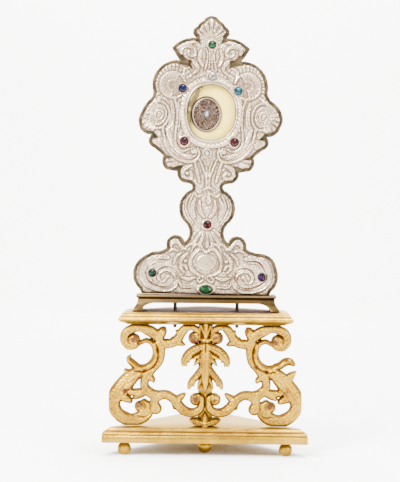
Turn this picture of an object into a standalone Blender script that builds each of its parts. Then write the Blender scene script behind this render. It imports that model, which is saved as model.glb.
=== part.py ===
"""A standing altar reliquary: a silver relief plaque on a brass-rimmed board, on a carved gilded stand.

Metres, +Z up, front towards -Y. The origin is under the middle of the whole object.
Every solid is built from the sizes below; the carving is drawn as strokes on a flat drawing in
millimetres, which each carved piece scales to its own height and width.
"""
import math

import bmesh
import bpy
import numpy as np
from mathutils.geometry import delaunay_2d_cdt

for old in list(bpy.data.objects):
    bpy.data.objects.remove(old, do_unlink=True)

# Clearance between pieces that touch
FIT_GAP = 0.0003

# Ball feet
FOOT_DIAMETER = 0.0155
FOOT_HEIGHT = 0.0147
FOOT_FLAT_RADIUS = 0.0026
FOOT_NECK_RADIUS = 0.0040
FRONT_FOOT_SPREAD = 0.183
FRONT_FOOT_SETBACK = 0.0135
MIDDLE_FOOT_SETBACK = 0.036
BACK_FOOT_SETBACK = 0.013

# Bottom board, a triangle in plan with cut corners
BOTTOM_WIDTH = 0.2330
BOTTOM_DEPTH = 0.2000
BOTTOM_SIDE = 0.0190
BOTTOM_TAIL_WIDTH = 0.0200
BOTTOM_THICKNESS = 0.0162
BOTTOM_TOP_INSET = 0.0083

# Top board
TOP_WIDTH = 0.2000
TOP_DEPTH = 0.1640
TOP_SIDE = 0.0880
TOP_TAIL_WIDTH = 0.0270
TOP_THICKNESS = 0.0132
TOP_TOP_INSET = 0.0074
TOP_SETBACK = 0.0135

# Carving between the boards
STAND_OPENING = 0.1166
PANEL_HALF_WIDTH = 0.1106
PANEL_THICKNESS = 0.0130
PANEL_SETBACK = 0.0200
PILLAR_PROJECTION = 0.0055
COLUMN_WIDTH = 0.0165
COLUMN_DEPTH = 0.0125
BRACKET_LENGTH = 0.1150
BRACKET_THICKNESS = 0.0120

# Brass foot under the plaque and its two pins
BRASS_FOOT_WIDTH = 0.1690
BRASS_FOOT_DEPTH = 0.0520
BRASS_FOOT_HEIGHT = 0.0188
BRASS_FOOT_SETBACK = 0.0398
BRASS_WALL = 0.0030
BRASS_PLATE = 0.0036
BRASS_ARCH_WIDTH = 0.1450
BRASS_ARCH_HEIGHT = 0.0098
BRASS_SIDE_ARCH = 0.0300
PIN_DIAMETER = 0.0042
PIN_SPACING = 0.0720
PIN_SHOWS_BELOW = 0.0026

# Plaque
PLAQUE_HEIGHT = 0.3230
PLAQUE_WIDTH = 0.1686
PLAQUE_LEAN_DEGREES = 0.8
PLAQUE_OFFSET = -0.0014
BOARD_THICKNESS = 0.0100
POCKET_DEPTH = 0.0082
RIM_WIDTH = 0.0030
SILVER_BASE = 0.0014
WINDOW_WIDTH = 0.0550
WINDOW_HEIGHT = 0.0635
WINDOW_SQUARENESS = 2.25
WINDOW_LEDGE = 0.0018
LINING_THICKNESS = 0.0024

# Relic case in the window
CASE_WIDTH = 0.0330
CASE_HEIGHT = 0.0390
CASE_DEPTH = 0.0056
CASE_ROOM_ACROSS = 0.0042
CASE_ROOM_UP = 0.0038
CASE_WALL = 0.0009
CASE_FLOOR = 0.0010
GROUND_THICKNESS = 0.0012
GLASS_THICKNESS = 0.0014
GLASS_CROWN = 0.0012

# Stones and their collets
COLLET_WALL = 0.0006
COLLET_HEIGHT = 0.0026
COLLET_FLOOR = 0.0006
STONE_CROWN = 0.0016
SEAT_HEIGHT = 0.0030

# Heights and depths that follow from the sizes above
LINING_HOLE_WIDTH = CASE_WIDTH + CASE_ROOM_ACROSS
LINING_HOLE_HEIGHT = CASE_HEIGHT + CASE_ROOM_UP
FRONT_Y = -BOTTOM_DEPTH / 2
BOTTOM_Z = FOOT_HEIGHT
STAND_Z = BOTTOM_Z + BOTTOM_THICKNESS
TOP_Z = STAND_Z + STAND_OPENING
BRASS_Z = TOP_Z + TOP_THICKNESS + FIT_GAP
PLAQUE_Z = BRASS_Z + BRASS_FOOT_HEIGHT + FIT_GAP
TOP_FRONT_Y = FRONT_Y + TOP_SETBACK
PANEL_FRONT_Y = FRONT_Y + PANEL_SETBACK
PANEL_BACK_Y = PANEL_FRONT_Y + PANEL_THICKNESS
COLUMN_FRONT_Y = PANEL_BACK_Y + FIT_GAP
COLUMN_BACK_Y = COLUMN_FRONT_Y + COLUMN_DEPTH
BRASS_FRONT_Y = FRONT_Y + BRASS_FOOT_SETBACK
BRASS_MIDDLE_Y = BRASS_FRONT_Y + BRASS_FOOT_DEPTH / 2
PLAQUE_Y = BRASS_MIDDLE_Y - BOARD_THICKNESS / 2
LEAN = math.radians(PLAQUE_LEAN_DEGREES)

# How near drawing points are joined in millimetres, and how deep a stroke lies hidden in another
MERGE_DISTANCE = 0.02
BURIED_EDGE = 0.70
BURIED_CREST = 0.45
EXACT_DISTANCE = 0.00001


def material(name, colour, roughness, metallic, transmission=0.0):
    made = bpy.data.materials.new(name)
    made.use_nodes = True
    shader = made.node_tree.nodes["Principled BSDF"]
    shader.inputs["Base Color"].default_value = (*colour, 1.0)
    shader.inputs["Roughness"].default_value = roughness
    shader.inputs["Metallic"].default_value = metallic
    shader.inputs["Transmission Weight"].default_value = transmission
    return made


GILDING = material("gilded_wood", (0.76, 0.56, 0.28), 0.42, 0.6)
BRASS = material("brass", (0.45, 0.34, 0.18), 0.38, 0.9)
SILVER = material("silver_relief", (0.80, 0.76, 0.70), 0.32, 0.95)
IVORY_SILK = material("ivory_silk", (0.86, 0.76, 0.50), 0.85, 0.0)
CASE_METAL = material("case_metal", (0.55, 0.45, 0.42), 0.4, 0.8)
RED_GROUND = material("red_ground", (0.33, 0.14, 0.10), 0.7, 0.1)
DARK_IRON = material("dark_iron", (0.05, 0.04, 0.035), 0.5, 0.7)
CLEAR_GLASS = material("clear_glass", (1.0, 1.0, 1.0), 0.03, 0.0, 1.0)


def make_object(name, mesh, finish, parent=None):
    mesh.materials.append(finish)
    made = bpy.data.objects.new(name, mesh)
    bpy.context.scene.collection.objects.link(made)
    made.parent = parent
    return made


def mesh_from(name, vertices, faces):
    mesh = bpy.data.meshes.new(name)
    mesh.from_pydata([tuple(map(float, vertex)) for vertex in vertices], [], faces)
    mesh.validate()
    return mesh


def apply_boolean(target, cutter, operation):
    """Cuts or joins by Blender's exact solver and keeps only the result."""
    step = target.modifiers.new(operation.lower(), "BOOLEAN")
    step.operation = operation
    step.solver = "EXACT"
    step.object = cutter
    depsgraph = bpy.context.evaluated_depsgraph_get()
    result = bpy.data.meshes.new_from_object(target.evaluated_get(depsgraph))
    target.modifiers.clear()
    target.data = result
    bpy.data.objects.remove(cutter, do_unlink=True)


def loft(rings, close_ends=True):
    """Quads between rings of equal length, listed from the bottom up and counterclockwise."""
    vertices = [point for ring in rings for point in ring]
    count = len(rings[0])
    faces = []
    for level in range(len(rings) - 1):
        for i in range(count):
            j = (i + 1) % count
            low, high = level * count, (level + 1) * count
            faces.append((low + i, low + j, high + j, high + i))
    if close_ends:
        faces.append(tuple(reversed(range(count))))
        faces.append(tuple(range((len(rings) - 1) * count, len(rings) * count)))
    return vertices, faces


def box(name, low, high, finish):
    corners = [(low[0], low[1]), (high[0], low[1]), (high[0], high[1]), (low[0], high[1])]
    rings = [[(x, y, z) for x, y in corners] for z in (low[2], high[2])]
    return make_object(name, mesh_from(name, *loft(rings)), finish)


def cylinder(name, centre, diameter, low, high, sides, finish):
    ring = [(centre[0] + math.cos(2 * math.pi * i / sides) * diameter / 2,
             centre[1] + math.sin(2 * math.pi * i / sides) * diameter / 2) for i in range(sides)]
    rings = [[(x, y, z) for x, y in ring] for z in (low, high)]
    return make_object(name, mesh_from(name, *loft(rings)), finish)


def inset_polygon(corners, inset):
    """A convex counterclockwise polygon with every side moved inwards."""
    moved = []
    count = len(corners)
    lines = []
    for i in range(count):
        a, b = np.array(corners[i]), np.array(corners[(i + 1) % count])
        along = (b - a) / np.linalg.norm(b - a)
        inward = np.array((-along[1], along[0]))
        lines.append((a + inward * inset, along))
    for i in range(count):
        (p, d), (q, e) = lines[i - 1], lines[i]
        t = ((q - p)[0] * e[1] - (q - p)[1] * e[0]) / (d[0] * e[1] - d[1] * e[0])
        moved.append(tuple(p + d * t))
    return moved


def moulded_board(name, corners, profile, base_z):
    """A board whose edge moulding is a list of (rise, inset) steps from its underside up."""
    rings = [[(x, y, base_z + rise) for x, y in inset_polygon(corners, inset)]
             for rise, inset in profile]
    return make_object(name, mesh_from(name, *loft(rings)), GILDING)


def shield_plan(width, depth, side, tail, front_y):
    """Straight front and short sides, then two rear edges that run to a cut tail."""
    half = width / 2
    return [(-half, front_y), (half, front_y), (half, front_y + side),
            (tail / 2, front_y + depth), (-tail / 2, front_y + depth), (-half, front_y + side)]


def quarter_round(rise, inset, height, depth, steps, hollow=False):
    """Steps of a quarter ellipse that rises by height and moves in by depth."""
    steps_made = []
    for i in range(steps + 1):
        turn = math.pi / 2 * i / steps
        if hollow:
            steps_made.append((rise + height * (1 - math.cos(turn)), inset + depth * math.sin(turn)))
        else:
            steps_made.append((rise + height * math.sin(turn), inset + depth * (1 - math.cos(turn))))
    return steps_made


# Bottom board: plain band, groove, torus, fillet and sloping chamfer
BAND_TOP = 0.0084
GROOVE_TOP = 0.0093
TORUS_HEIGHT = 0.0033
TORUS_DEPTH = 0.0034
bottom_profile = [(0.0, 0.0004), (0.0004, 0.0), (BAND_TOP, 0.0), (BAND_TOP, 0.0010), (GROOVE_TOP, 0.0010)]
bottom_profile += quarter_round(GROOVE_TOP, 0.0003, TORUS_HEIGHT, TORUS_DEPTH, 4)
bottom_profile += [(GROOVE_TOP + TORUS_HEIGHT, 0.0045),
                   (BOTTOM_THICKNESS - 0.0004, BOTTOM_TOP_INSET - 0.0004),
                   (BOTTOM_THICKNESS, BOTTOM_TOP_INSET)]
bottom_plan = shield_plan(BOTTOM_WIDTH, BOTTOM_DEPTH, BOTTOM_SIDE, BOTTOM_TAIL_WIDTH, FRONT_Y)
moulded_board("bottom_board", bottom_plan, bottom_profile, BOTTOM_Z)

# Top board: fillet, cove, bead, groove, lip, ovolo
FILLET_HEIGHT = 0.0013
COVE_HEIGHT = 0.0020
BEAD_HEIGHT = 0.0025
LIP_RISE = 0.0070
top_profile = [(0.0, 0.0120), (FILLET_HEIGHT, 0.0120)]
top_profile += [(FILLET_HEIGHT + COVE_HEIGHT * (1 - math.cos(turn)), 0.0112 - 0.0036 * math.sin(turn))
                for turn in (0.0, 0.8, 1.5)]
bead_base = FILLET_HEIGHT + COVE_HEIGHT + 0.0001
top_profile += [(bead_base + BEAD_HEIGHT / 2 * (1 - math.cos(turn)), 0.0062 - 0.0026 * math.sin(turn))
                for turn in (0.0, 1.0, 2.1, math.pi)]
top_profile += [(LIP_RISE - 0.0003, 0.0034), (LIP_RISE, 0.0), (LIP_RISE + 0.0006, 0.0)]
top_profile += quarter_round(LIP_RISE + 0.0008, 0.0002, TOP_THICKNESS - LIP_RISE - 0.0013, 0.0062, 4)
top_profile += [(TOP_THICKNESS, TOP_TOP_INSET)]
top_plan = shield_plan(TOP_WIDTH, TOP_DEPTH, TOP_SIDE, TOP_TAIL_WIDTH, TOP_FRONT_Y)
top_board = moulded_board("top_board", top_plan, top_profile, TOP_Z)

# Fixing pins, and their bores through the top board
PIN_SIDES = 12
brass_hollow_top = BRASS_Z + BRASS_FOOT_HEIGHT - BRASS_PLATE
for side, side_name in ((-1, "left"), (1, "right")):
    pin_place = (side * PIN_SPACING / 2, BRASS_MIDDLE_Y)
    bore = cylinder("bore", pin_place, PIN_DIAMETER + 2 * FIT_GAP,
                    TOP_Z - FOOT_HEIGHT, TOP_Z + 2 * TOP_THICKNESS, PIN_SIDES, GILDING)
    apply_boolean(top_board, bore, "DIFFERENCE")
    cylinder("fixing_pin_" + side_name, pin_place, PIN_DIAMETER, TOP_Z - PIN_SHOWS_BELOW,
             brass_hollow_top - FIT_GAP, PIN_SIDES, DARK_IRON)

# Ball feet, turned, each with a short neck and a small flat spot to stand on
FOOT_SIDES = 9
radius = FOOT_DIAMETER / 2
ball_centre = math.sqrt(radius ** 2 - FOOT_FLAT_RADIUS ** 2)
flat_angle = -math.acos(FOOT_FLAT_RADIUS / radius)
neck_angle = math.acos(FOOT_NECK_RADIUS / radius)
FOOT_STEPS = 4
foot_profile = []
for i in range(FOOT_STEPS + 1):
    turn = flat_angle + (neck_angle - flat_angle) * i / FOOT_STEPS
    foot_profile.append((radius * math.cos(turn), ball_centre + radius * math.sin(turn)))
foot_profile.append((FOOT_NECK_RADIUS, FOOT_HEIGHT - FIT_GAP))
feet = {
    "ball_foot_left": (-FRONT_FOOT_SPREAD / 2, FRONT_Y + FRONT_FOOT_SETBACK),
    "ball_foot_right": (FRONT_FOOT_SPREAD / 2, FRONT_Y + FRONT_FOOT_SETBACK),
    "ball_foot_middle": (0.0, FRONT_Y + MIDDLE_FOOT_SETBACK),
    "ball_foot_back": (0.0, FRONT_Y + BOTTOM_DEPTH - BACK_FOOT_SETBACK),
}
for foot_name, (foot_x, foot_y) in feet.items():
    rings = [[(foot_x + r * math.cos(2 * math.pi * i / FOOT_SIDES),
               foot_y + r * math.sin(2 * math.pi * i / FOOT_SIDES), z) for i in range(FOOT_SIDES)]
             for r, z in foot_profile]
    make_object(foot_name, mesh_from(foot_name, *loft(rings)), GILDING)


def smooth_path(points, spacing):
    """A Catmull-Rom curve through (x, z, width) points, about one sample per spacing."""
    points = np.array(points, float)
    ends = np.vstack([2 * points[0] - points[1], points, 2 * points[-1] - points[-2]])
    path = [points[0]]
    for i in range(1, len(ends) - 2):
        a, b, c, d = ends[i - 1:i + 3]
        count = max(1, round(np.linalg.norm((c - b)[:2]) / spacing))
        for k in range(1, count + 1):
            t = k / count
            path.append(0.5 * (2 * b + (c - a) * t + (2 * a - 5 * b + 4 * c - d) * t ** 2
                               + (3 * b - a - 3 * c + d) * t ** 3))
    path = np.array(path)
    path[:, 2] = np.maximum(path[:, 2], 0.5)
    return path


def rails(path):
    """The left and right edges of a stroke."""
    ahead = np.gradient(path[:, :2], axis=0)
    ahead /= np.linalg.norm(ahead, axis=1)[:, None]
    across = np.stack([-ahead[:, 1], ahead[:, 0]], axis=1) * path[:, 2:3] / 2
    return path[:, :2] + across, path[:, :2] - across


def stroke_cells(path):
    """The triangles that a stroke covers."""
    left, right = rails(path)
    cells = []
    for i in range(len(path) - 1):
        cells.append((left[i], left[i + 1], right[i + 1]))
        cells.append((left[i], right[i + 1], right[i]))
    return cells


def disc(x, z, width, sides):
    """A round boss as a ring of points."""
    turns = np.arange(sides) * 2 * math.pi / sides
    return np.stack([x + width / 2 * np.cos(turns), z + width / 2 * np.sin(turns)], axis=1)


def stroke_ratio(points, path):
    """Distance from a stroke's middle line over its half width there, for each point."""
    start, end = path[:-1], path[1:]
    step = (end - start)[:, :2]
    offset = points[:, None, :] - start[None, :, :2]
    t = np.clip((offset * step).sum(2) / np.maximum((step ** 2).sum(1), 1e-9), 0, 1)
    away = np.linalg.norm(offset - t[..., None] * step, axis=2)
    half = (start[:, 2] + t * (end - start)[:, 2]) / 2
    return (away / half).min(axis=1)


def inside_triangles(points, triangles):
    """Whether each point lies in any of the triangles."""
    found = np.zeros(len(points), bool)
    for a, b, c in triangles:
        d1 = (points[:, 0] - b[0]) * (a[1] - b[1]) - (a[0] - b[0]) * (points[:, 1] - b[1])
        d2 = (points[:, 0] - c[0]) * (b[1] - c[1]) - (b[0] - c[0]) * (points[:, 1] - c[1])
        d3 = (points[:, 0] - a[0]) * (c[1] - a[1]) - (c[0] - a[0]) * (points[:, 1] - a[1])
        found |= ((d1 >= 0) & (d2 >= 0) & (d3 >= 0)) | ((d1 <= 0) & (d2 <= 0) & (d3 <= 0))
    return found


def inside_polygon(points, polygon):
    """Even-odd test of each point against one closed polygon."""
    polygon = np.array(polygon)
    following = np.roll(polygon, -1, axis=0)
    x, y = points[:, 0][:, None], points[:, 1][:, None]
    spans = (polygon[:, 1] > y) != (following[:, 1] > y)
    rise = following[:, 1] - polygon[:, 1]
    rise = np.where(rise == 0, 1e-12, rise)
    crossing = x < (following[:, 0] - polygon[:, 0]) * (y - polygon[:, 1]) / rise + polygon[:, 0]
    return (spans & crossing).sum(axis=1) % 2 == 1


def triangulate(lines, inside, merge=MERGE_DISTANCE):
    """Constrained triangles over open or closed lines, kept where inside says so.

    lines is a list of (points, closed). Each patch that the lines enclose is kept or dropped as
    a whole, by its largest triangle. Returns the points and counterclockwise triangles.
    """
    vertices, edges = [], []
    for points, closed in lines:
        first = len(vertices)
        vertices.extend((float(x), float(z)) for x, z in points)
        count = len(points)
        edges.extend((first + i, first + i + 1) for i in range(count - 1))
        if closed:
            edges.append((first + count - 1, first))
    points, made_edges, triangles, _, sources, _ = delaunay_2d_cdt(vertices, edges, [], 0, merge)
    points = np.array([tuple(point) for point in points])
    triangles = np.array([tuple(triangle) for triangle in triangles])
    fixed = {frozenset(edge) for edge, source in zip(made_edges, sources) if source}
    patch = list(range(len(triangles)))

    def root(i):
        while patch[i] != i:
            patch[i] = patch[patch[i]]
            i = patch[i]
        return i

    beside, sides = {}, {}
    for i, (a, b, c) in enumerate(triangles):
        for edge in (frozenset((a, b)), frozenset((b, c)), frozenset((c, a))):
            if edge in beside and edge not in fixed:
                patch[root(i)] = root(beside[edge])
            beside.setdefault(edge, i)
            sides[edge] = sides.get(edge, 0) + 1
    corners = points[triangles]
    first_side, second_side = corners[:, 1] - corners[:, 0], corners[:, 2] - corners[:, 0]
    areas = abs(first_side[:, 0] * second_side[:, 1] - first_side[:, 1] * second_side[:, 0])
    largest = {}
    for i in range(len(triangles)):
        group = root(i)
        if group not in largest or areas[i] > areas[largest[group]]:
            largest[group] = i
    groups = sorted(largest)
    chosen = inside(corners.mean(axis=1)[[largest[group] for group in groups]])
    open_groups = {root(i) for edge, i in beside.items() if sides[edge] == 1 and edge not in fixed}
    kept = {group for group, choose in zip(groups, chosen) if choose} - open_groups
    return points, triangles[[root(i) in kept for i in range(len(triangles))]]


def border_edges(triangles):
    """Edges that only one triangle uses, in that triangle's direction."""
    edges = [tuple(edge) for t in triangles for edge in ((t[0], t[1]), (t[1], t[2]), (t[2], t[0]))]
    known = set(edges)
    return [(a, b) for a, b in edges if (b, a) not in known]


def relief_mesh(name, lines, inside, front, back, place, flat_back=True):
    """A closed solid between a carved front and a back, both heights over the same drawing.

    front and back turn drawing points into heights; place turns (points, heights) into metres.
    """
    points, triangles = triangulate(lines, inside)
    border = border_edges(triangles)
    used = np.unique(triangles)
    number = {old: new for new, old in enumerate(used)}
    front_points = points[used]
    vertices = list(place(front_points, front(front_points)))
    faces = [tuple(number[i] for i in t) for t in triangles]
    if flat_back:
        edge_points = sorted({a for a, _ in border})
        back_lines = [([points[a], points[b]], False) for a, b in border]
        back_points, back_triangles = triangulate(back_lines, inside, EXACT_DISTANCE)
        order = [int(np.argmin(((back_points - points[i]) ** 2).sum(1))) for i in edge_points]
        back_number = {found: len(vertices) + i for i, found in enumerate(order)}
        vertices += list(place(points[edge_points], back(points[edge_points])))
        faces += [tuple(back_number[i] for i in reversed(t)) for t in back_triangles]
        below = {old: back_number[found] for old, found in zip(edge_points, order)}
    else:
        start = len(vertices)
        vertices += list(place(front_points, back(front_points)))
        faces += [tuple(start + number[i] for i in reversed(t)) for t in triangles]
        below = {old: start + new for old, new in number.items()}
    for a, b in border:
        faces.append((number[b], number[a], below[a], below[b]))
    return mesh_from(name, vertices, faces)


def carve_union(name, strokes, bosses, spacing, thickness, edge_share, place, boss_sides=8,
                two_sided=False):
    """Openwork carving: the union of strokes and round bosses, highest along their middles."""
    paths = [smooth_path(stroke, spacing) for stroke in strokes]
    discs = [disc(x, z, width, boss_sides) for x, z, width in bosses]
    round_paths = [np.array([(x - 0.01, z, width), (x + 0.01, z, width)]) for x, z, width in bosses]
    cells_of = [stroke_cells(path) for path in paths]
    for ring, (x, z, _) in zip(discs, bosses):
        cells_of.append([(ring[i - 1], ring[i], np.array((x, z))) for i in range(boss_sides)])
    lines = []

    def add_seen(line, own, depth):
        """The parts of a line that no other stroke buries to the given depth."""
        both = np.vstack([line[:-1], line[1:], (line[:-1] + line[1:]) / 2])
        cover = np.full((len(line) - 1), 9.0)
        for other, other_cells in zip(paths + round_paths, cells_of):
            if other is not own:
                ratio = np.where(inside_triangles(both, other_cells), stroke_ratio(both, other), 9.0)
                cover = np.minimum(cover, ratio.reshape(3, -1).max(axis=0))
        lines.extend((line[i:i + 2], False) for i in np.flatnonzero(cover > depth))

    for path in paths:
        left, right = rails(path)
        add_seen(np.vstack([left, right[::-1], left[:1]]), path, BURIED_EDGE)
        add_seen(path[:, :2], path, BURIED_CREST)
    for ring, own, (x, z, _) in zip(discs, round_paths, bosses):
        add_seen(np.vstack([ring, ring[:1]]), own, BURIED_EDGE)
        lines.append(([(x, z)], False))
    cells = [cell for group in cells_of for cell in group]

    def height(points):
        best = np.full(len(points), edge_share)
        for path in paths:
            ratio = np.clip(stroke_ratio(points, path), 0, 1)
            best = np.maximum(best, edge_share + (1 - edge_share) * np.sqrt(1 - ratio ** 2))
        for x, z, width in bosses:
            ratio = np.clip(np.hypot(points[:, 0] - x, points[:, 1] - z) / (width / 2), 0, 1)
            best = np.maximum(best, edge_share + (1 - edge_share) * np.sqrt(1 - ratio ** 2))
        return best * thickness

    if two_sided:
        return relief_mesh(name, lines, lambda middles: inside_triangles(middles, cells),
                           lambda p: height(p) / 2, lambda p: -height(p) / 2, place, flat_back=False)
    return relief_mesh(name, lines, lambda middles: inside_triangles(middles, cells),
                       height, lambda p: np.zeros(len(p)), place)


# Carved scroll panels: (distance from the middle, height, width) along each scroll
PANEL_STROKES = [
    # Outer top volute and its shoulder
    [(54, 102, 10), (63, 108, 11), (73.5, 111.6, 9), (82.5, 111, 9), (90.5, 106.5, 9),
     (92.5, 98.5, 9), (88.5, 92, 8.5), (82, 91, 7), (77.5, 93, 5)],
    # Inner C-scroll with its hooked tip
    [(75, 94.5, 4.5), (67.5, 97.5, 5), (60.5, 94, 5.5), (57.5, 87, 6), (57, 79.5, 7), (61, 71.5, 7),
     (68.5, 66.5, 7), (77, 66.5, 7), (83.5, 71.5, 7.5), (87.5, 76.5, 5), (85.5, 81, 1)],
    # Outer C-band that runs down into the waist
    [(55, 104, 9), (51.5, 96.5, 8.5), (50.5, 85, 8), (53, 73.5, 8), (60, 65, 8), (65.5, 59, 10),
     (69.5, 49.5, 8.5), (67.5, 42, 9), (60, 36, 10), (55.5, 35, 10)],
    [(65, 57.5, 8), (60, 53, 5.5), (58.5, 50.5, 2.5)],
    # Leaf at the crest
    [(53.5, 101, 10), (50, 107.5, 9.5), (48, 111, 5)],
    # Bridge to the scroll beside the pillar
    [(54, 93, 9), (46, 94, 9.5), (38, 95, 9), (32, 99.5, 9.5), (28.5, 105.5, 9), (24, 111, 8.5),
     (17, 113, 6), (9.5, 110, 7), (7, 103.5, 5.5), (8.5, 98, 4.5)],
    [(36, 97.5, 9), (29, 95, 6), (24.5, 93, 2.5)],
    # Acanthus leaf that rolls into the outer foot volute
    [(75, 61, 10), (83.5, 56.5, 14.5), (93.5, 45, 17), (101.5, 34.5, 16), (103.5, 25.5, 13.5),
     (101.5, 16.5, 12), (94, 9.5, 12.5), (85, 7, 13.4), (74.5, 8.6, 13), (67.5, 15, 14),
     (66, 22, 10), (69.5, 26, 8)],
    [(86.5, 58.5, 9), (91, 63.5, 3.5)],
    [(94, 32.5, 9), (87, 29.5, 7), (84.5, 27.5, 3.5)],
    [(70.5, 38.5, 9), (75.5, 35, 7.5), (80, 32, 4.5)],
    [(85, 38, 7), (76, 38, 8), (68, 39.5, 8)],
    # Arched C-scroll
    [(56, 19.5, 11.5), (58, 26.5, 9), (54, 33.5, 10), (45, 35.5, 9), (37, 31.5, 9), (32.5, 26, 9)],
    [(33.5, 27.5, 9), (35, 22.5, 4.5), (35.5, 19, 1.5)],
    [(30.5, 31, 8), (23.5, 36.5, 3)],
    # Inner foot scroll
    [(33, 28.5, 9), (28.5, 21.5, 10), (21.5, 16.5, 9.5), (13.5, 15.5, 8.5), (6.5, 19, 8),
     (4, 25.5, 7), (4.5, 31.5, 7), (10.5, 34.5, 6), (15, 32.5, 4.5)],
]
PANEL_BOSSES = [(82, 98, 12.5), (12.5, 101, 12.5), (74, 22, 11), (11, 30, 11)]
DRAWN_PANEL_HEIGHT = max(z + width / 2 for stroke in PANEL_STROKES for _, z, width in stroke)
DRAWN_PANEL_HALF = max(x + width / 2 for stroke in PANEL_STROKES for x, _, width in stroke)
PANEL_SPACING = 10.0
PANEL_EDGE_SHARE = 0.66


def front_place(side, back_y):
    """Drawing points and heights to the stand's front, left of the middle or right of it."""
    across = side * PANEL_HALF_WIDTH / DRAWN_PANEL_HALF
    up = (STAND_OPENING - 2 * FIT_GAP) / DRAWN_PANEL_HEIGHT

    def place(points, heights):
        return np.stack([points[:, 0] * across, back_y - heights,
                         STAND_Z + FIT_GAP + points[:, 1] * up], axis=1)
    return place


def face_outwards(mesh):
    work = bmesh.new()
    work.from_mesh(mesh)
    bmesh.ops.recalc_face_normals(work, faces=work.faces)
    work.to_mesh(mesh)
    work.free()
    return mesh


for side, side_name in ((-1, "left"), (1, "right")):
    panel_name = "carved_scroll_panel_" + side_name
    panel = carve_union(panel_name, PANEL_STROKES, PANEL_BOSSES, PANEL_SPACING, PANEL_THICKNESS,
                        PANEL_EDGE_SHARE, front_place(side, PANEL_BACK_Y))
    make_object(panel_name, face_outwards(panel), GILDING)

# Rear bracket: a plainer scroll of the same kind from the pillar straight back
BRACKET_STROKES = [
    [(1, 96, 11), (6, 96.5, 11), (15, 102.5, 11), (30, 106, 11), (48, 101, 12), (62, 90, 12), (72, 74, 11),
     (80, 58, 11), (92, 44, 12), (104, 31, 13), (108, 19, 12), (101, 9, 12), (90, 6.6, 12.4),
     (79, 11, 10), (76, 20, 8), (81, 27, 7)],
    [(50, 102, 10), (62, 108, 9), (76, 111.6, 9), (88, 109, 9), (94, 101, 9), (90, 93, 7.5), (82, 92, 6)],
    [(1, 20, 12), (6, 20.5, 12), (13, 33, 9.5), (24, 34.5, 9), (34, 26, 8.5), (44, 19.5, 8.5), (56, 22, 9),
     (66, 32, 9), (74, 44, 9), (80, 54, 8)],
    [(1, 8, 12), (12, 7, 11), (24, 12, 9), (34, 26, 8)],
]
BRACKET_BOSSES = [(86, 20, 11), (83, 99, 11)]
BRACKET_SPACING = 18.0
DRAWN_BRACKET_LENGTH = 115.0


def bracket_place(points, heights):
    along = BRACKET_LENGTH / DRAWN_BRACKET_LENGTH
    up = (STAND_OPENING - 2 * FIT_GAP) / DRAWN_PANEL_HEIGHT
    return np.stack([heights, COLUMN_BACK_Y + FIT_GAP + points[:, 0] * along,
                     STAND_Z + FIT_GAP + points[:, 1] * up], axis=1)


bracket = carve_union("rear_scroll_bracket", BRACKET_STROKES, BRACKET_BOSSES, BRACKET_SPACING,
                      BRACKET_THICKNESS, 0.7, bracket_place, boss_sides=8, two_sided=True)
make_object("rear_scroll_bracket", face_outwards(bracket), GILDING)

# Carved leaf pillar: a plain column behind the panels, with leaves and a three-lobed foot in front
PILLAR_LEAVES = [
    # Collar with its flared ribs, and the long hanging leaf
    [(0, 116, 7.6), (0, 105, 7), (0, 99.5, 7.6), (0, 92.5, 12), (0, 84, 16.5), (0, 70, 16.5),
     (0, 58, 13), (0, 48, 8), (0, 39.5, 1.5)],
]
PILLAR_SIDE_LEAVES = [
    [(5, 92, 7), (13, 87.5, 9), (20.5, 82, 8.5), (25, 76, 6), (25.6, 70.5, 2)],
    [(5, 78, 7), (10, 73.5, 5), (12.4, 70, 2)],
    [(5, 66, 7), (11, 57, 6), (16.5, 49.5, 6), (18, 43.5, 2.5)],
]
FOOT_LEAVES = [[(0, 1, 9), (0, 8, 9.5), (0, 15, 2)]]
FOOT_SIDE_LEAVES = [[(2, 2.5, 5), (8, 5, 8.4), (14, 6.4, 6.5), (16.6, 7, 3)]]
LEAF_SPACING = 8.0
LEAF_BACK_Y = COLUMN_FRONT_Y - 0.003
FOOT_LEAF_BACK_Y = COLUMN_FRONT_Y + 0.003


def mirrored(strokes):
    return [[(-x, z, width) for x, z, width in stroke] for stroke in strokes]


leaf_front_y = PANEL_FRONT_Y - PILLAR_PROJECTION
leaves = carve_union("leaves", PILLAR_LEAVES + PILLAR_SIDE_LEAVES + mirrored(PILLAR_SIDE_LEAVES), [],
                     LEAF_SPACING, LEAF_BACK_Y - leaf_front_y, 0.5, front_place(1, LEAF_BACK_Y))
foot_leaf = carve_union("foot_leaf", FOOT_LEAVES + FOOT_SIDE_LEAVES + mirrored(FOOT_SIDE_LEAVES), [],
                        LEAF_SPACING, FOOT_LEAF_BACK_Y - leaf_front_y, 0.72, front_place(1, FOOT_LEAF_BACK_Y))
leaves = make_object("leaves", face_outwards(leaves), GILDING)
foot_leaf = make_object("foot_leaf", face_outwards(foot_leaf), GILDING)
pillar = box("carved_leaf_pillar", (-COLUMN_WIDTH / 2, COLUMN_FRONT_Y, STAND_Z + FIT_GAP),
             (COLUMN_WIDTH / 2, COLUMN_BACK_Y, TOP_Z - FIT_GAP), GILDING)
LEAF_ROOT_LOW = 0.040
LEAF_ROOT_HIGH = 0.096
LEAF_ROOT_WIDTH = 0.0100
leaf_root = box("leaf_root", (-LEAF_ROOT_WIDTH / 2, LEAF_BACK_Y - 0.002, STAND_Z + LEAF_ROOT_LOW),
                (LEAF_ROOT_WIDTH / 2, COLUMN_FRONT_Y + 0.002, STAND_Z + LEAF_ROOT_HIGH), GILDING)
for joined in (leaf_root, leaves, foot_leaf):
    apply_boolean(pillar, joined, "UNION")

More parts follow.
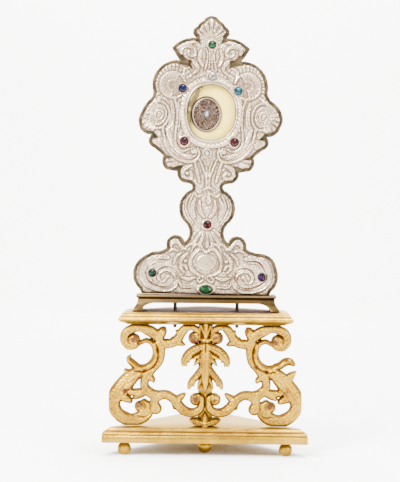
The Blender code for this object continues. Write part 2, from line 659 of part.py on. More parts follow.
# Brass foot: mitred bracket base with aprons on four sides, hollow below
brass_half = (BRASS_FOOT_WIDTH / 2, BRASS_FOOT_DEPTH / 2)
BRASS_PROFILE = [(0.0, 0.0), (0.0014, 0.0), (0.0040, 0.0013), (0.0068, 0.0034), (0.0098, 0.0050),
                 (0.0140, 0.0056), (0.0148, 0.0056), (0.0160, 0.0050), (0.0168, 0.0037)]
brass_rings = []
for rise, inset in BRASS_PROFILE + [(BRASS_FOOT_HEIGHT - 0.0003, 0.0037), (BRASS_FOOT_HEIGHT, 0.0040)]:
    w, d = brass_half[0] - inset, brass_half[1] - inset
    brass_rings.append([(x, BRASS_MIDDLE_Y + y, BRASS_Z + rise)
                        for x, y in ((-w, -d), (w, -d), (w, d), (-w, d))])
brass_foot = make_object("brass_foot", mesh_from("brass_foot", *loft(brass_rings)), BRASS)
hollow_half = (brass_half[0] - 0.0056 - BRASS_WALL, brass_half[1] - 0.0056 - BRASS_WALL)
BELOW = 0.010
hollow = box("hollow", (-hollow_half[0], BRASS_MIDDLE_Y - hollow_half[1], BRASS_Z - BELOW),
             (hollow_half[0], BRASS_MIDDLE_Y + hollow_half[1], brass_hollow_top), BRASS)
apply_boolean(brass_foot, hollow, "DIFFERENCE")


def arch_outline(width, height):
    """An apron opening: level top with ogee shoulders that drop to the bracket feet."""
    shoulder = 0.0075
    half = width / 2
    right = [(half, -BELOW), (half, 0.0), (half - 0.0010, height * 0.30), (half - 0.0030, height * 0.52),
             (half - 0.0055, height * 0.62), (half - shoulder, height * 0.80),
             (half - shoulder - 0.0010, height)]
    return right + [(-x, z) for x, z in reversed(right)]


for along_x, width in ((True, BRASS_ARCH_WIDTH), (False, BRASS_SIDE_ARCH)):
    outline = arch_outline(width, BRASS_ARCH_HEIGHT)
    reach = BRASS_FOOT_WIDTH
    rings = []
    for push in (-reach, reach):
        if along_x:
            rings.append([(x, BRASS_MIDDLE_Y - push, BRASS_Z + z) for x, z in outline])
        else:
            rings.append([(push, BRASS_MIDDLE_Y + x, BRASS_Z + z) for x, z in outline])
    arch = make_object("arch", face_outwards(mesh_from("arch", *loft(rings))), BRASS)
    apply_boolean(brass_foot, arch, "DIFFERENCE")

# The plaque stands on the brass foot and leans a little to the right
plaque = bpy.data.objects.new("plaque_lean", None)
bpy.context.scene.collection.objects.link(plaque)
plaque.location = (PLAQUE_OFFSET, PLAQUE_Y, PLAQUE_Z)
plaque.rotation_euler = (0.0, LEAN, 0.0)

# Half outline of the board from its tip down: (point on the way, end) for an arc, (None, end) for a line
BOARD_ARCS = [
    ((6.0, 321.2), (9.6, 317.2)), ((14.4, 313.8), (16.6, 310.2)), ((20.8, 306.6), (21.4, 301.8)),
    (None, (18.0, 297.6)), ((34.0, 294.0), (45.4, 285.4)), ((41.5, 278.6), (36.0, 271.2)),
    ((58.5, 262.6), (66.5, 234.5)), ((67.5, 230.0), (71.0, 225.2)), ((80.2, 214.0), (83.8, 203.0)),
    ((82.6, 196.0), (80.0, 190.0)), ((76.5, 186.6), (66.5, 184.0)), ((69.9, 177.0), (65.6, 169.8)),
    ((60.0, 166.2), (52.6, 159.5)), ((53.2, 150.5), (48.6, 143.9)), (None, (36.0, 141.8)),
    ((34.4, 134.2), (28.5, 129.2)), (None, (21.0, 128.0)), ((18.2, 124.8), (21.5, 120.4)),
    ((32.9, 100.5), (25.5, 82.8)), ((20.2, 71.5), (25.0, 60.8)), ((36.0, 68.6), (46.8, 59.0)),
    (None, (46.6, 53.8)), ((53.0, 50.3), (60.0, 49.2)), ((77.7, 40.3), (84.3, 23.0)),
    ((82.9, 14.0), (77.2, 5.6)), (None, (73.7, 0.0)),
]
# The drawing is in millimetres, from this tip down to its foot at height 0
BOARD_TIP = (0.0, 323.0)
DRAWN_PLAQUE_HALF = max(end[0] for _, end in BOARD_ARCS)
ACROSS = PLAQUE_WIDTH / 2 / DRAWN_PLAQUE_HALF
UP = PLAQUE_HEIGHT / BOARD_TIP[1]
# The hand-cut shape isn't quite even: height, reach up and down, and shift to the right there
SWAYS = [(214.0, 16.0, 2.8), (46.0, 8.0, 3.0)]
SWAY_FROM = 36.0
SWAY_RUN = 20.0
OUTLINE_TOLERANCE = 0.40
WINDOW_CENTRE = (2.0, 210.9)
WINDOW_SIDES = 24
MILLI = 1000.0


def arc_samples(start, through, end, tolerance):
    """Points after start along the circle through three points, flat to within the tolerance."""
    (ax, ay), (bx, by), (cx, cy) = start, through, end
    d = 2 * (ax * (by - cy) + bx * (cy - ay) + cx * (ay - by))
    a2, b2, c2 = ax ** 2 + ay ** 2, bx ** 2 + by ** 2, cx ** 2 + cy ** 2
    ux = (a2 * (by - cy) + b2 * (cy - ay) + c2 * (ay - by)) / d
    uy = (a2 * (cx - bx) + b2 * (ax - cx) + c2 * (bx - ax)) / d
    r = math.hypot(ax - ux, ay - uy)
    first = math.atan2(ay - uy, ax - ux)
    middle = (math.atan2(by - uy, bx - ux) - first) % (2 * math.pi)
    last = (math.atan2(cy - uy, cx - ux) - first) % (2 * math.pi)
    if middle > last:
        last -= 2 * math.pi
    count = max(2, math.ceil(abs(last) / (2 * math.acos(max(0.0, 1 - tolerance / r)))))
    return [(ux + r * math.cos(first + last * i / count), uy + r * math.sin(first + last * i / count))
            for i in range(1, count + 1)]


def outline_from(arcs, start, tolerance):
    """The whole outline, mirrored from its right half, from the tip clockwise."""
    right = [start]
    for through, end in arcs:
        right += [end] if through is None else arc_samples(right[-1], through, end, tolerance)
    return right + [(-x, h) for x, h in reversed(right[1:])]


def swayed(points):
    """Points of the drawing, those away from its middle line shifted a little to the right."""
    moved = []
    for x, h, *width in points:
        share = min(1.0, max(0.0, (abs(x) - SWAY_FROM) / SWAY_RUN))
        shift = sum(amount * math.exp(-((h - middle) / reach) ** 2) for middle, reach, amount in SWAYS)
        moved.append((x + shift * share, h, *width))
    return moved


def level_foot(outline, rise):
    """The lowest points set on a level line, which the lean would tilt."""
    lowest = min(h for _, h in outline) + 1.0
    return [(x, x * math.tan(LEAN) + rise) if h < lowest else (x, h) for x, h in outline]


def thinned(points, tolerance):
    """A line without the points that lie within the tolerance of a straight run."""
    a, b = points[0], points[-1]
    if len(points) < 3:
        return points
    chord = b - a
    length = np.linalg.norm(chord)
    if length < tolerance:
        away = np.linalg.norm(points - a, axis=1)
    else:
        away = abs(chord[0] * (points[:, 1] - a[1]) - chord[1] * (points[:, 0] - a[0])) / length
    far = int(away.argmax())
    if away[far] < tolerance:
        return np.array([a, b])
    return np.vstack([thinned(points[:far + 1], tolerance)[:-1], thinned(points[far:], tolerance)])


def inset_outline(outline, inset):
    """The outline moved inwards, without the loops that sharp points would leave."""
    points = np.array(outline)
    dense = []
    for a, b in zip(points, np.roll(points, -1, axis=0)):
        count = max(1, int(np.linalg.norm(b - a) / 3.0))
        dense += [a + (b - a) * i / count for i in range(count)]
    dense = np.array(dense)
    ahead = np.roll(dense, -1, axis=0) - np.roll(dense, 1, axis=0)
    ahead /= np.linalg.norm(ahead, axis=1)[:, None]
    moved = dense + np.stack([ahead[:, 1], -ahead[:, 0]], axis=1) * inset
    starts, ends = points, np.roll(points, -1, axis=0)
    step = ends - starts
    offset = moved[:, None, :] - starts[None]
    t = np.clip((offset * step).sum(2) / (step ** 2).sum(1), 0, 1)
    away = np.linalg.norm(offset - t[..., None] * step, axis=2).min(axis=1)
    kept = moved[away > inset * 0.96]
    return [tuple(p) for p in thinned(np.vstack([kept, kept[:1]]), OUTLINE_TOLERANCE / 2)[:-1]]


def window_ring(grow, count):
    """The window's squarish oval, grown by a margin in drawing millimetres."""
    ring = []
    for i in range(count):
        turn = 2 * math.pi * i / count
        c, s = math.cos(turn), math.sin(turn)
        power = 2 / WINDOW_SQUARENESS
        x = (WINDOW_WIDTH / 2 / ACROSS + grow) * math.copysign(abs(c) ** power, c)
        h = (WINDOW_HEIGHT / 2 / UP + grow) * math.copysign(abs(s) ** power, s)
        ring.append((WINDOW_CENTRE[0] + x, WINDOW_CENTRE[1] + h))
    return ring


board_outline = level_foot(swayed(outline_from(BOARD_ARCS, BOARD_TIP, OUTLINE_TOLERANCE)), 0.0)
pocket = window_ring(WINDOW_LEDGE * MILLI, WINDOW_SIDES)


def plaque_vertices(points, y):
    return [(x * ACROSS, y, h * UP) for x, h in points]


# Backing board: flat front with the pocket sunk into it, and a bevelled back edge
def backing_board():
    both = [(board_outline, True), (pocket, True)]
    ring_points, ring_faces = triangulate(
        both, lambda p: inside_polygon(p, board_outline) & ~inside_polygon(p, pocket))
    floor_points, floor_faces = triangulate([(pocket, True)], lambda p: inside_polygon(p, pocket))
    back_points, back_faces = triangulate([(board_outline, True)], lambda p: inside_polygon(p, board_outline))
    work = bmesh.new()
    for points, faces, y, flip in ((ring_points, ring_faces, 0.0, False),
                                   (floor_points, floor_faces, POCKET_DEPTH, False),
                                   (back_points, back_faces, BOARD_THICKNESS, True)):
        made = [work.verts.new(v) for v in plaque_vertices(points, y)]
        for face in faces:
            corners = [made[i] for i in face]
            work.faces.new(reversed(corners) if flip else corners)
    for loop, near, far in ((board_outline, 0.0, BOARD_THICKNESS), (pocket, 0.0, POCKET_DEPTH)):
        first = [work.verts.new(v) for v in plaque_vertices(loop, near)]
        second = [work.verts.new(v) for v in plaque_vertices(loop, far)]
        for i in range(len(loop)):
            j = (i + 1) % len(loop)
            work.faces.new((first[i], first[j], second[j], second[i]))
    bmesh.ops.remove_doubles(work, verts=work.verts, dist=0.00001)
    mesh = bpy.data.meshes.new("backing_board")
    bmesh.ops.recalc_face_normals(work, faces=work.faces)
    work.to_mesh(mesh)
    work.free()
    return mesh


make_object("backing_board", backing_board(), BRASS, plaque)

# Stones: place on the plaque and size in drawing millimetres, colour
STONES = {
    "green_top": (1.5, 288.8, 8.6, 8.6, (0.02, 0.22, 0.12)),
    "clear_upper": (2.3, 253.2, 9.0, 9.0, (0.85, 0.84, 0.82)),
    "blue_left": (-31.5, 238.0, 9.4, 9.4, (0.03, 0.03, 0.35)),
    "turquoise_right": (32.8, 236.0, 9.0, 9.0, (0.02, 0.35, 0.50)),
    "dark_ruby_left": (-28.2, 177.0, 9.6, 9.6, (0.14, 0.01, 0.05)),
    "ruby_right": (29.8, 177.0, 9.6, 9.6, (0.35, 0.01, 0.04)),
    "clear_middle": (-1.6, 163.8, 6.6, 6.6, (0.85, 0.84, 0.82)),
    "ruby_low": (0.8, 81.3, 9.0, 9.0, (0.32, 0.01, 0.04)),
    "green_left": (-61.4, 24.0, 9.2, 9.2, (0.02, 0.14, 0.09)),
    "purple_right": (65.0, 22.0, 8.6, 9.8, (0.16, 0.06, 0.30)),
    "green_oval_bottom": (0.9, 6.1, 15.6, 10.2, (0.02, 0.30, 0.12)),
}
COLLET_SIDES = 8

# Silver relief: half strokes are mirrored, whole strokes stand alone; (x, height, width)
RIDGE_HEIGHT = 0.0030
HALF_STROKES = [
    # Foot volute, from the shelf round into its eye
    [(45, 42.5, 4), (56, 43, 5), (65, 39.5, 5.5), (71.8, 31, 5.5), (73, 20, 5.5), (66.5, 10, 5.5),
     (53, 5.2, 5), (40, 6, 5), (33.4, 13.5, 5), (35.8, 23.5, 4.5), (44, 28.6, 4), (52.3, 25.5, 4),
     (54.4, 18.5, 3.5), (49.5, 14.3, 3)],
    # Shoulder bud and foliage beside the cartouche
    [(27, 53, 4), (32, 60.5, 5), (39, 61, 5), (42.5, 55, 4.5)],
    [(22, 47.5, 4), (28, 41, 5), (29.5, 32, 4.5), (25, 25, 3)],
    # Cartouche frame and the curls under it
    [(0, 49.5, 4), (7, 53, 4.5), (13.5, 48.5, 4.5), (17.6, 40, 4.5), (16.6, 30, 4.5), (10, 24, 4.5),
     (3, 21.5, 4)],
    # Rays under the low stone
    [(5.5, 73.5, 3), (15.5, 58.5, 5)], [(3, 72.5, 3), (7.5, 57, 4.5)],
    # Baluster border, inner leaf and diagonal leaf
    [(18.5, 120, 3.5), (26, 111.5, 4), (28.2, 100.5, 4), (24.5, 89.5, 4), (18.2, 80, 3.5), (16.2, 70, 3)],
    # Curls of the small lobe and the V under the middle stone
    [(20, 149.5, 4), (28, 145, 5), (30, 138.5, 5), (24.5, 133.5, 4.5), (18.5, 136.5, 4)],
    [(10, 156, 3.5), (5.8, 146, 3.5), (1.6, 134, 4), (1.6, 124, 4)],
    [(36, 152.5, 4.5), (45, 149.5, 6)], [(50, 180, 4), (63, 177, 6)], [(49, 172, 4), (60.5, 170.8, 4.5)],
    # Big C-scroll: its outer ridge, and the inner ridge that runs up beside the window
    [(53.5, 190, 3.5), (50.3, 180, 4), (47.5, 169.5, 4.5), (41, 161, 4.5), (32.5, 156, 4.5),
     (23, 153.8, 4.5), (14.8, 156, 4.5), (10.8, 162, 4), (12.3, 169, 3.5)],
    [(41, 225, 3.5), (38, 214, 3.5), (37.4, 200, 3.5), (38.6, 188, 3.5), (39, 177, 4), (35.8, 169.5, 4),
     (29, 166, 4)],
    # Wing: edge leaf, scroll and the leaf under it
    [(15, 292.2, 4), (27, 290.5, 5), (38.5, 284.5, 3.5)],
    [(33, 277, 4), (33.5, 283, 4.5), (27.5, 286.8, 4.5), (20, 284.5, 4.5), (18.5, 278.5, 4),
     (23.5, 276.5, 3.5)],
    [(11, 282, 4), (12.5, 274, 5), (9.5, 266, 4.5)],
    [(27, 270, 4), (19, 268.5, 5.5), (15, 260.5, 5), (21, 254.5, 4)],
    # Palmette ribs at the tip
    [(4.5, 296.5, 2.5), (15.5, 301.5, 5.5)],
    [(3.5, 298, 2.5), (12.6, 308, 5.5)],
    [(2, 299.5, 2.5), (6.5, 313.5, 5)],
]
WHOLE_STROKES = [
    [(0, 299.5, 2.5), (0, 317, 5.5)],
    [(1.5, 117.5, 5), (1.5, 110.5, 7)],
    [(0.8, 72.5, 3), (0.8, 55.5, 4.5)],
]
SILVER_SPACING = 11.0
# Broad swells under the ridges: (x, height, reach across, reach up, rise)
SWELLS = [(42, 242, 24, 26, 1.6), (-42, 242, 24, 26, 1.6), (64, 206, 20, 22, 1.4), (-64, 206, 20, 22, 1.4),
          (0, 100, 28, 24, 2.0), (0, 303, 18, 16, 1.4), (56, 22, 28, 26, 1.6), (-56, 22, 28, 26, 1.6),
          (0, 36, 12, 10, 1.6), (24, 281, 20, 12, 1.2), (-24, 281, 20, 12, 1.2)]
SHELL_UPPER = (43.0, 241.5)
SHELL_SIDE = (60.5, 207.0)


def polar(centre, r, degrees, stretch=1.0):
    turn = math.radians(degrees)
    return centre[0] + r * math.cos(turn), centre[1] + r * stretch * math.sin(turn)


def shell_strokes():
    """Ringed shells: the upper one gadrooned round its rim, the side one fluted outwards."""
    strokes = []
    strokes.append([(*polar(SHELL_UPPER, 14.6, a), 4.0) for a in range(150, -121, -30)])
    for a in range(-22, 141, 32):
        strokes.append([(*polar(SHELL_UPPER, 18.6, a), 3.0), (*polar(SHELL_UPPER, 22.6, a), 5.6)])
    for a in (-50, 5, 60):
        strokes.append([(*polar(SHELL_UPPER, 3.5, a), 1.6), (*polar(SHELL_UPPER, 11.4, a), 4.2)])
    strokes.append([(*polar(SHELL_SIDE, 12.4, a, 1.25), 4.0) for a in range(75, 286, 30)])
    for a in (-60, -30, 0, 30, 60):
        reach = 17.6 if abs(a) < 50 else 14.5
        strokes.append([(*polar(SHELL_SIDE, 5.0, a), 2.2), (*polar(SHELL_SIDE, reach, a, 1.1), 6.2)])
    return strokes


# Notches where the board shows between the silver's lobes
HALF_NOTCHES = [
    [(11.6, 290.6), (14.6, 296.2), (20, 301), (25, 297), (17.5, 292.8)],
    [(20.3, 260.8), (24.6, 263.8), (36.9, 266.9), (45, 273), (33, 277), (28.8, 271.6), (22.2, 270.4),
     (23, 266)],
    [(58.5, 180.5), (62, 184.6), (72, 187.5), (72, 181), (63, 180.2)],
    [(42.2, 157.4), (48.5, 160.6), (56, 164), (58, 158), (49, 157.4)],
    [(28.8, 149), (34, 148.6), (40, 146), (41, 140), (33, 138), (31.6, 144)],
    [(27.6, 57.6), (31, 62), (28, 68), (20, 66), (24.2, 60)],
]


def silver_front():
    outline = inset_outline(board_outline, RIM_WIDTH * MILLI)
    notches = [swayed(notch) for notch in HALF_NOTCHES]
    notches += [swayed([(-x, h) for x, h in notch]) for notch in HALF_NOTCHES]
    opening = window_ring(0.0, WINDOW_SIDES)
    frame_rings = [(1.8, 3.0), (4.2, 1.6), (7.0, 3.2)]
    half = HALF_STROKES + shell_strokes()
    strokes = half + mirrored(half) + WHOLE_STROKES
    paths = [smooth_path(swayed(stroke), SILVER_SPACING) for stroke in strokes]
    lines = [(outline, True), (opening, True)] + [(notch, True) for notch in notches]
    lines += [(window_ring(grow, WINDOW_SIDES), True) for grow, _ in frame_rings]
    frame_edge = window_ring(frame_rings[-1][0], WINDOW_SIDES)
    seats = [(x, h, w + 2.6, d + 2.6) for x, h, w, d, _ in STONES.values()]
    for x, h, w, d in seats:
        lines.append(([(x + w / 2 * math.cos(t), h + d / 2 * math.sin(t))
                       for t in np.arange(COLLET_SIDES) * 2 * math.pi / COLLET_SIDES], True))

    def clear_of(points, margin):
        """Points outside the window frame and the stones' seats."""
        clear = ~inside_polygon(points, frame_edge)
        for x, h, w, d in seats:
            reach_x, reach_h = w / 2 + margin, d / 2 + margin
            clear &= np.hypot((points[:, 0] - x) / reach_x, (points[:, 1] - h) / reach_h) > 1
        return clear

    def inside(points):
        found = inside_polygon(points, outline) & ~inside_polygon(points, opening)
        for notch in notches:
            found &= ~inside_polygon(points, notch)
        return found

    for path in paths:
        left, right = rails(path)
        for line in (left, path[:, :2], right):
            keep = inside(line) & clear_of(line, 0.6)
            runs = np.split(np.arange(len(line)), np.flatnonzero(np.diff(keep.astype(int))) + 1)
            lines += [(line[run], False) for run in runs if keep[run[0]]]

    def front(points):
        swell = np.zeros(len(points))
        for x, h, w, d, rise in SWELLS:
            away = ((points[:, 0] - x) / w) ** 2 + ((points[:, 1] - h) / d) ** 2
            swell = np.maximum(swell, rise * np.clip(1 - away, 0, 1))
        ridge = np.zeros(len(points))
        for path in paths:
            ratio = np.clip(stroke_ratio(points, path), 0, 1)
            size = min(1.0, path[:, 2].max() / 5.0)
            ridge = np.maximum(ridge, RIDGE_HEIGHT * MILLI * size * np.sqrt(1 - ratio ** 2))
        rise = SILVER_BASE * MILLI + swell + ridge
        x = (points[:, 0] - WINDOW_CENTRE[0]) / (WINDOW_WIDTH / 2 / ACROSS)
        h = (points[:, 1] - WINDOW_CENTRE[1]) / (WINDOW_HEIGHT / 2 / UP)
        out = (abs(x) ** WINDOW_SQUARENESS + abs(h) ** WINDOW_SQUARENESS) ** (1 / WINDOW_SQUARENESS)
        margin = (out - 1) * (WINDOW_WIDTH / 2 / ACROSS)
        grows = [0.0] + [grow for grow, _ in frame_rings]
        tall = [1.4] + [h for _, h in frame_rings]
        framed = SILVER_BASE * MILLI + np.interp(margin, grows, tall)
        rise = np.where(margin < grows[-1] - 0.2, framed, rise)
        for x, h, w, d in seats:
            near = np.hypot((points[:, 0] - x) / (w / 2), (points[:, 1] - h) / (d / 2)) < 1.01
            rise = np.where(near, SEAT_HEIGHT * MILLI, rise)
        return rise / MILLI

    def place(points, heights):
        return np.stack([points[:, 0] * ACROSS, -FIT_GAP - heights, points[:, 1] * UP], axis=1)

    return face_outwards(relief_mesh("silver_front", lines, inside, front,
                                     lambda p: np.zeros(len(p)), place))


make_object("silver_front", silver_front(), SILVER, plaque)


def oval_ring(centre, width, height, y, sides):
    """A ring of points on the plaque, sizes in metres, centre in drawing millimetres."""
    return [(centre[0] * ACROSS + width / 2 * math.cos(2 * math.pi * i / sides), y,
             centre[1] * UP + height / 2 * math.sin(2 * math.pi * i / sides)) for i in range(sides)]


def make_lofted(name, rings, finish, parent=plaque, close_ends=True):
    return make_object(name, face_outwards(mesh_from(name, *loft(rings, close_ends))), finish, parent)


def cup(name, centre, width, height, wall, floor, front_y, back_y, sides, finish):
    """A dish open to the front: outside wall, rim, inside wall and floor."""
    inner_width, inner_height = width - 2 * wall, height - 2 * wall
    rings = [oval_ring(centre, width, height, back_y, sides),
             oval_ring(centre, width, height, front_y, sides),
             oval_ring(centre, inner_width, inner_height, front_y, sides),
             oval_ring(centre, inner_width, inner_height, back_y - floor, sides)]
    return make_lofted(name, rings, finish)


# Window lining: a silk-covered card on the pocket's floor, with a hole for the relic case
CASE_CENTRE = (-3.3, 208.7)
HOLE_CENTRE = (-2.6, 209.9)
lining_back = POCKET_DEPTH - FIT_GAP
lining_front = lining_back - LINING_THICKNESS


def window_lining():
    outer = window_ring(WINDOW_LEDGE * MILLI - FIT_GAP * MILLI, WINDOW_SIDES)
    outer_rings = [[(x * ACROSS, y, h * UP) for x, h in outer] for y in (lining_back, lining_front)]
    hole = [oval_ring(HOLE_CENTRE, LINING_HOLE_WIDTH, LINING_HOLE_HEIGHT, y, WINDOW_SIDES)
            for y in (lining_front, lining_back)]
    rings = outer_rings + hole
    vertices, faces = loft(rings, close_ends=False)
    last = 3 * WINDOW_SIDES
    for i in range(WINDOW_SIDES):
        j = (i + 1) % WINDOW_SIDES
        faces.append((last + i, last + j, j, i))
    return face_outwards(mesh_from("window_lining", vertices, faces))


make_object("window_lining", window_lining(), IVORY_SILK, plaque)

# Relic case, its ground, and the domed glass over it
CASE_SIDES = 16
case_front = lining_back - CASE_DEPTH
cup("relic_case", CASE_CENTRE, CASE_WIDTH, CASE_HEIGHT, CASE_WALL, CASE_FLOOR, case_front, lining_back,
    CASE_SIDES, CASE_METAL)
ground_width = CASE_WIDTH - 2 * CASE_WALL - 2 * FIT_GAP
ground_height = CASE_HEIGHT - 2 * CASE_WALL - 2 * FIT_GAP
ground_back = lining_back - CASE_FLOOR - FIT_GAP
ground_front = ground_back - GROUND_THICKNESS
make_lofted("relic_ground", [oval_ring(CASE_CENTRE, ground_width, ground_height, y, CASE_SIDES)
                             for y in (ground_back, ground_front)], RED_GROUND)
glass_back = case_front + GLASS_THICKNESS * 0.6
glass_front = glass_back - GLASS_THICKNESS
glass_rings = [oval_ring(CASE_CENTRE, ground_width, ground_height, glass_back, CASE_SIDES),
               oval_ring(CASE_CENTRE, ground_width, ground_height, glass_front, CASE_SIDES),
               oval_ring(CASE_CENTRE, ground_width * 0.6, ground_height * 0.6,
                         glass_front - GLASS_CROWN * 0.8, CASE_SIDES)]
make_lofted("relic_case_glass", glass_rings, CLEAR_GLASS)

# Collets and faceted stones, each on its flat seat in the silver
for stone_name, (x, h, width, height, colour) in STONES.items():
    size = (width / MILLI, height / MILLI)
    collet_size = (size[0] + 2 * COLLET_WALL + 2 * FIT_GAP, size[1] + 2 * COLLET_WALL + 2 * FIT_GAP)
    back_y = -FIT_GAP - SEAT_HEIGHT - FIT_GAP
    front_y = back_y - COLLET_HEIGHT
    finish = material("stone_" + stone_name, colour, 0.06, 0.0, 0.5)
    cup("collet_" + stone_name, (x, h), *collet_size, COLLET_WALL, COLLET_FLOOR, front_y, back_y,
        COLLET_SIDES, SILVER)
    stone_back = back_y - COLLET_FLOOR - FIT_GAP
    girdle = front_y - FIT_GAP
    stone_rings = [oval_ring((x, h), size[0] * 0.7, size[1] * 0.7, stone_back, COLLET_SIDES),
                   oval_ring((x, h), *size, girdle + COLLET_WALL, COLLET_SIDES),
                   oval_ring((x, h), size[0] * 0.6, size[1] * 0.6, girdle - STONE_CROWN, COLLET_SIDES)]
    make_lofted("stone_" + stone_name, stone_rings, finish)
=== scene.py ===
"""A standing altar reliquary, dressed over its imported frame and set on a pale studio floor.

Metres, +Z up, front towards -Y, as the frame. The sections follow the object as it is put
together, from the boards and the carving up to the plaque, its window and its stones.
"""
import math

import bmesh
import bpy
import numpy as np
from mathutils import Matrix, Vector
from mathutils.geometry import delaunay_2d_cdt


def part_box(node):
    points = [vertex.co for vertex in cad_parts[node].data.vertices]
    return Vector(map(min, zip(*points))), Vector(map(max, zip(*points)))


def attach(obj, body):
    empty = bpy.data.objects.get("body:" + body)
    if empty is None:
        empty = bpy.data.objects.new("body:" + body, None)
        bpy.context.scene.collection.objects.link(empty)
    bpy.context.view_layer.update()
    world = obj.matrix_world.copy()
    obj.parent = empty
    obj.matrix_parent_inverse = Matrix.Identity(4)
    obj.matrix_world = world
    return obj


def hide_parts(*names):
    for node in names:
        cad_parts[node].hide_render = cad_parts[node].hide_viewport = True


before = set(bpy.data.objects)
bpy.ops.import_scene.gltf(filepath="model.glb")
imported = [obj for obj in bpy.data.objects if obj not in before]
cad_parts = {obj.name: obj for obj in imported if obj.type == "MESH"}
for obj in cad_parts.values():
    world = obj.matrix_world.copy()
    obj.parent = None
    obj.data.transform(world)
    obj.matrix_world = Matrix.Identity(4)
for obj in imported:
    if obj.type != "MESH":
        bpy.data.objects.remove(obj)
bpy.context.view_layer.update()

# Studio: a plain pale floor that runs up into a pale wall, lit by soft boxes.
# The camera stands two metres in front, a little below the plaque's middle.
CAMERA_PITCH = math.radians(90 - 1.27)
CAMERA_YAW = math.radians(0.216)
CAMERA_ROLL = math.radians(0.6)
camera_data = bpy.data.cameras.new("camera")
camera_data.lens = 134.6
camera_data.clip_start = 0.05
camera = bpy.data.objects.new("camera", camera_data)
bpy.context.scene.collection.objects.link(camera)
camera.location = (0.0, -2.127, 0.2885)
aim = Matrix.Rotation(CAMERA_YAW, 4, "Z") @ Matrix.Rotation(CAMERA_PITCH, 4, "X")
camera.rotation_euler = (aim @ Matrix.Rotation(CAMERA_ROLL, 4, "Z")).to_euler()
bpy.context.scene.camera = camera


def soft_box(name, place, target, size, power, colour):
    light = bpy.data.lights.new(name, "AREA")
    light.shape = "RECTANGLE"
    light.size, light.size_y = size
    light.energy = power
    light.color = colour
    lamp = bpy.data.objects.new(name, light)
    bpy.context.scene.collection.objects.link(lamp)
    lamp.location = place
    direction = Vector(place) - Vector(target)
    lamp.rotation_euler = direction.to_track_quat("Z", "Y").to_euler()


soft_box("key_light", (-0.9, -1.3, 1.3), (0, 0, 0.28), (0.8, 0.8), 200.0, (1.0, 0.985, 0.95))
soft_box("fill_light", (1.2, -1.2, 0.7), (0, 0, 0.25), (1.0, 1.2), 66.0, (0.99, 0.99, 1.0))
soft_box("backdrop_light", (0.0, 1.8, 2.3), (0, 3.6, 0.4), (2.6, 0.9), 510.0, (1.0, 0.995, 0.98))
soft_box("top_light", (0.1, 0.2, 1.7), (0, 0, 0.2), (1.2, 1.0), 170.0, (1.0, 1.0, 1.0))

FLOOR_WIDTH, FLOOR_LENGTH, FLOOR_FRONT = 14.0, 12.0, -4.5
BEND_START, BEND_RADIUS = 3.0, 0.6
bpy.ops.object.select_all(action="DESELECT")
bpy.ops.mesh.primitive_grid_add(x_subdivisions=2, y_subdivisions=60, size=1.0)
floor = bpy.context.object
floor.name = "studio_floor"
for vertex in floor.data.vertices:
    along = (vertex.co.y + 0.5) * FLOOR_LENGTH + FLOOR_FRONT
    bent = max(0.0, along - BEND_START)
    turn = min(bent / BEND_RADIUS, math.pi / 2)
    vertex.co.x *= FLOOR_WIDTH
    vertex.co.y = min(along, BEND_START) + BEND_RADIUS * math.sin(turn)
    vertex.co.z = BEND_RADIUS * (1 - math.cos(turn)) + max(0.0, bent - BEND_RADIUS * math.pi / 2)
bpy.ops.object.shade_smooth()


def principled(name, **values):
    """A new finish, its node tree and its shader, given the values that are the same all over it."""
    finish = bpy.data.materials.new(name)
    finish.use_nodes = True
    shader = finish.node_tree.nodes["Principled BSDF"]
    for socket, value in values.items():
        shader.inputs[socket.replace("_", " ")].default_value = value
    return finish, finish.node_tree, shader


paper, _, _ = principled("studio_paper", Base_Color=(0.88, 0.872, 0.86, 1.0), Roughness=0.9,
                         Specular_IOR_Level=0.1)
floor.data.materials.append(paper)

world = bpy.data.worlds.new("studio_air")
world.use_nodes = True
air = world.node_tree.nodes["Background"]
air.inputs["Color"].default_value = (1.0, 0.99, 0.975, 1.0)
air.inputs["Strength"].default_value = 1.35
bpy.context.scene.world = world

# Stand boards: two limewood boards with planed mouldings, gessoed and water-gilt like the carving.
# Each has a straight front, short sides and two rear edges that run back to a cut tail. The leaf
# is pale and uneven, painted darker orange in the hollows as shade, with bole and dirt showing where it is
# rubbed.
def textured(tree, kind, **values):
    """A texture that lies on the piece's own coordinates."""
    texture = tree.nodes.new("ShaderNodeTex" + kind)
    for socket, value in values.items():
        texture.inputs[socket].default_value = value
    here = tree.nodes.new("ShaderNodeTexCoord")
    tree.links.new(here.outputs["Object"], texture.inputs["Vector"])
    return texture


def toned(tree, mask, stops):
    """Colours along a mask, as (place, colour) stops."""
    ramp = tree.nodes.new("ShaderNodeValToRGB")
    while len(ramp.color_ramp.elements) < len(stops):
        ramp.color_ramp.elements.new(0.5)
    for element, (position, colour) in zip(ramp.color_ramp.elements, stops):
        element.position = position
        element.color = (*colour, 1.0)
    tree.links.new(mask, ramp.inputs["Fac"])
    return ramp.outputs["Color"]


def stretched(tree, value, low, high, to_low=0.0, to_high=1.0):
    """A mask stretched from one range to another and held inside it."""
    reach = tree.nodes.new("ShaderNodeMapRange")
    limits = {"From Min": low, "From Max": high, "To Min": to_low, "To Max": to_high}
    for socket, limit in limits.items():
        reach.inputs[socket].default_value = limit
    tree.links.new(value, reach.inputs["Value"])
    return reach.outputs["Result"]


def reckoned(tree, operation, *terms):
    """A sum on masks, where a term is another node's output or a plain number."""
    maths = tree.nodes.new("ShaderNodeMath")
    maths.operation = operation
    for socket, term in zip(maths.inputs, terms):
        if isinstance(term, bpy.types.NodeSocket):
            tree.links.new(term, socket)
        else:
            socket.default_value = term
    return maths.outputs[0]


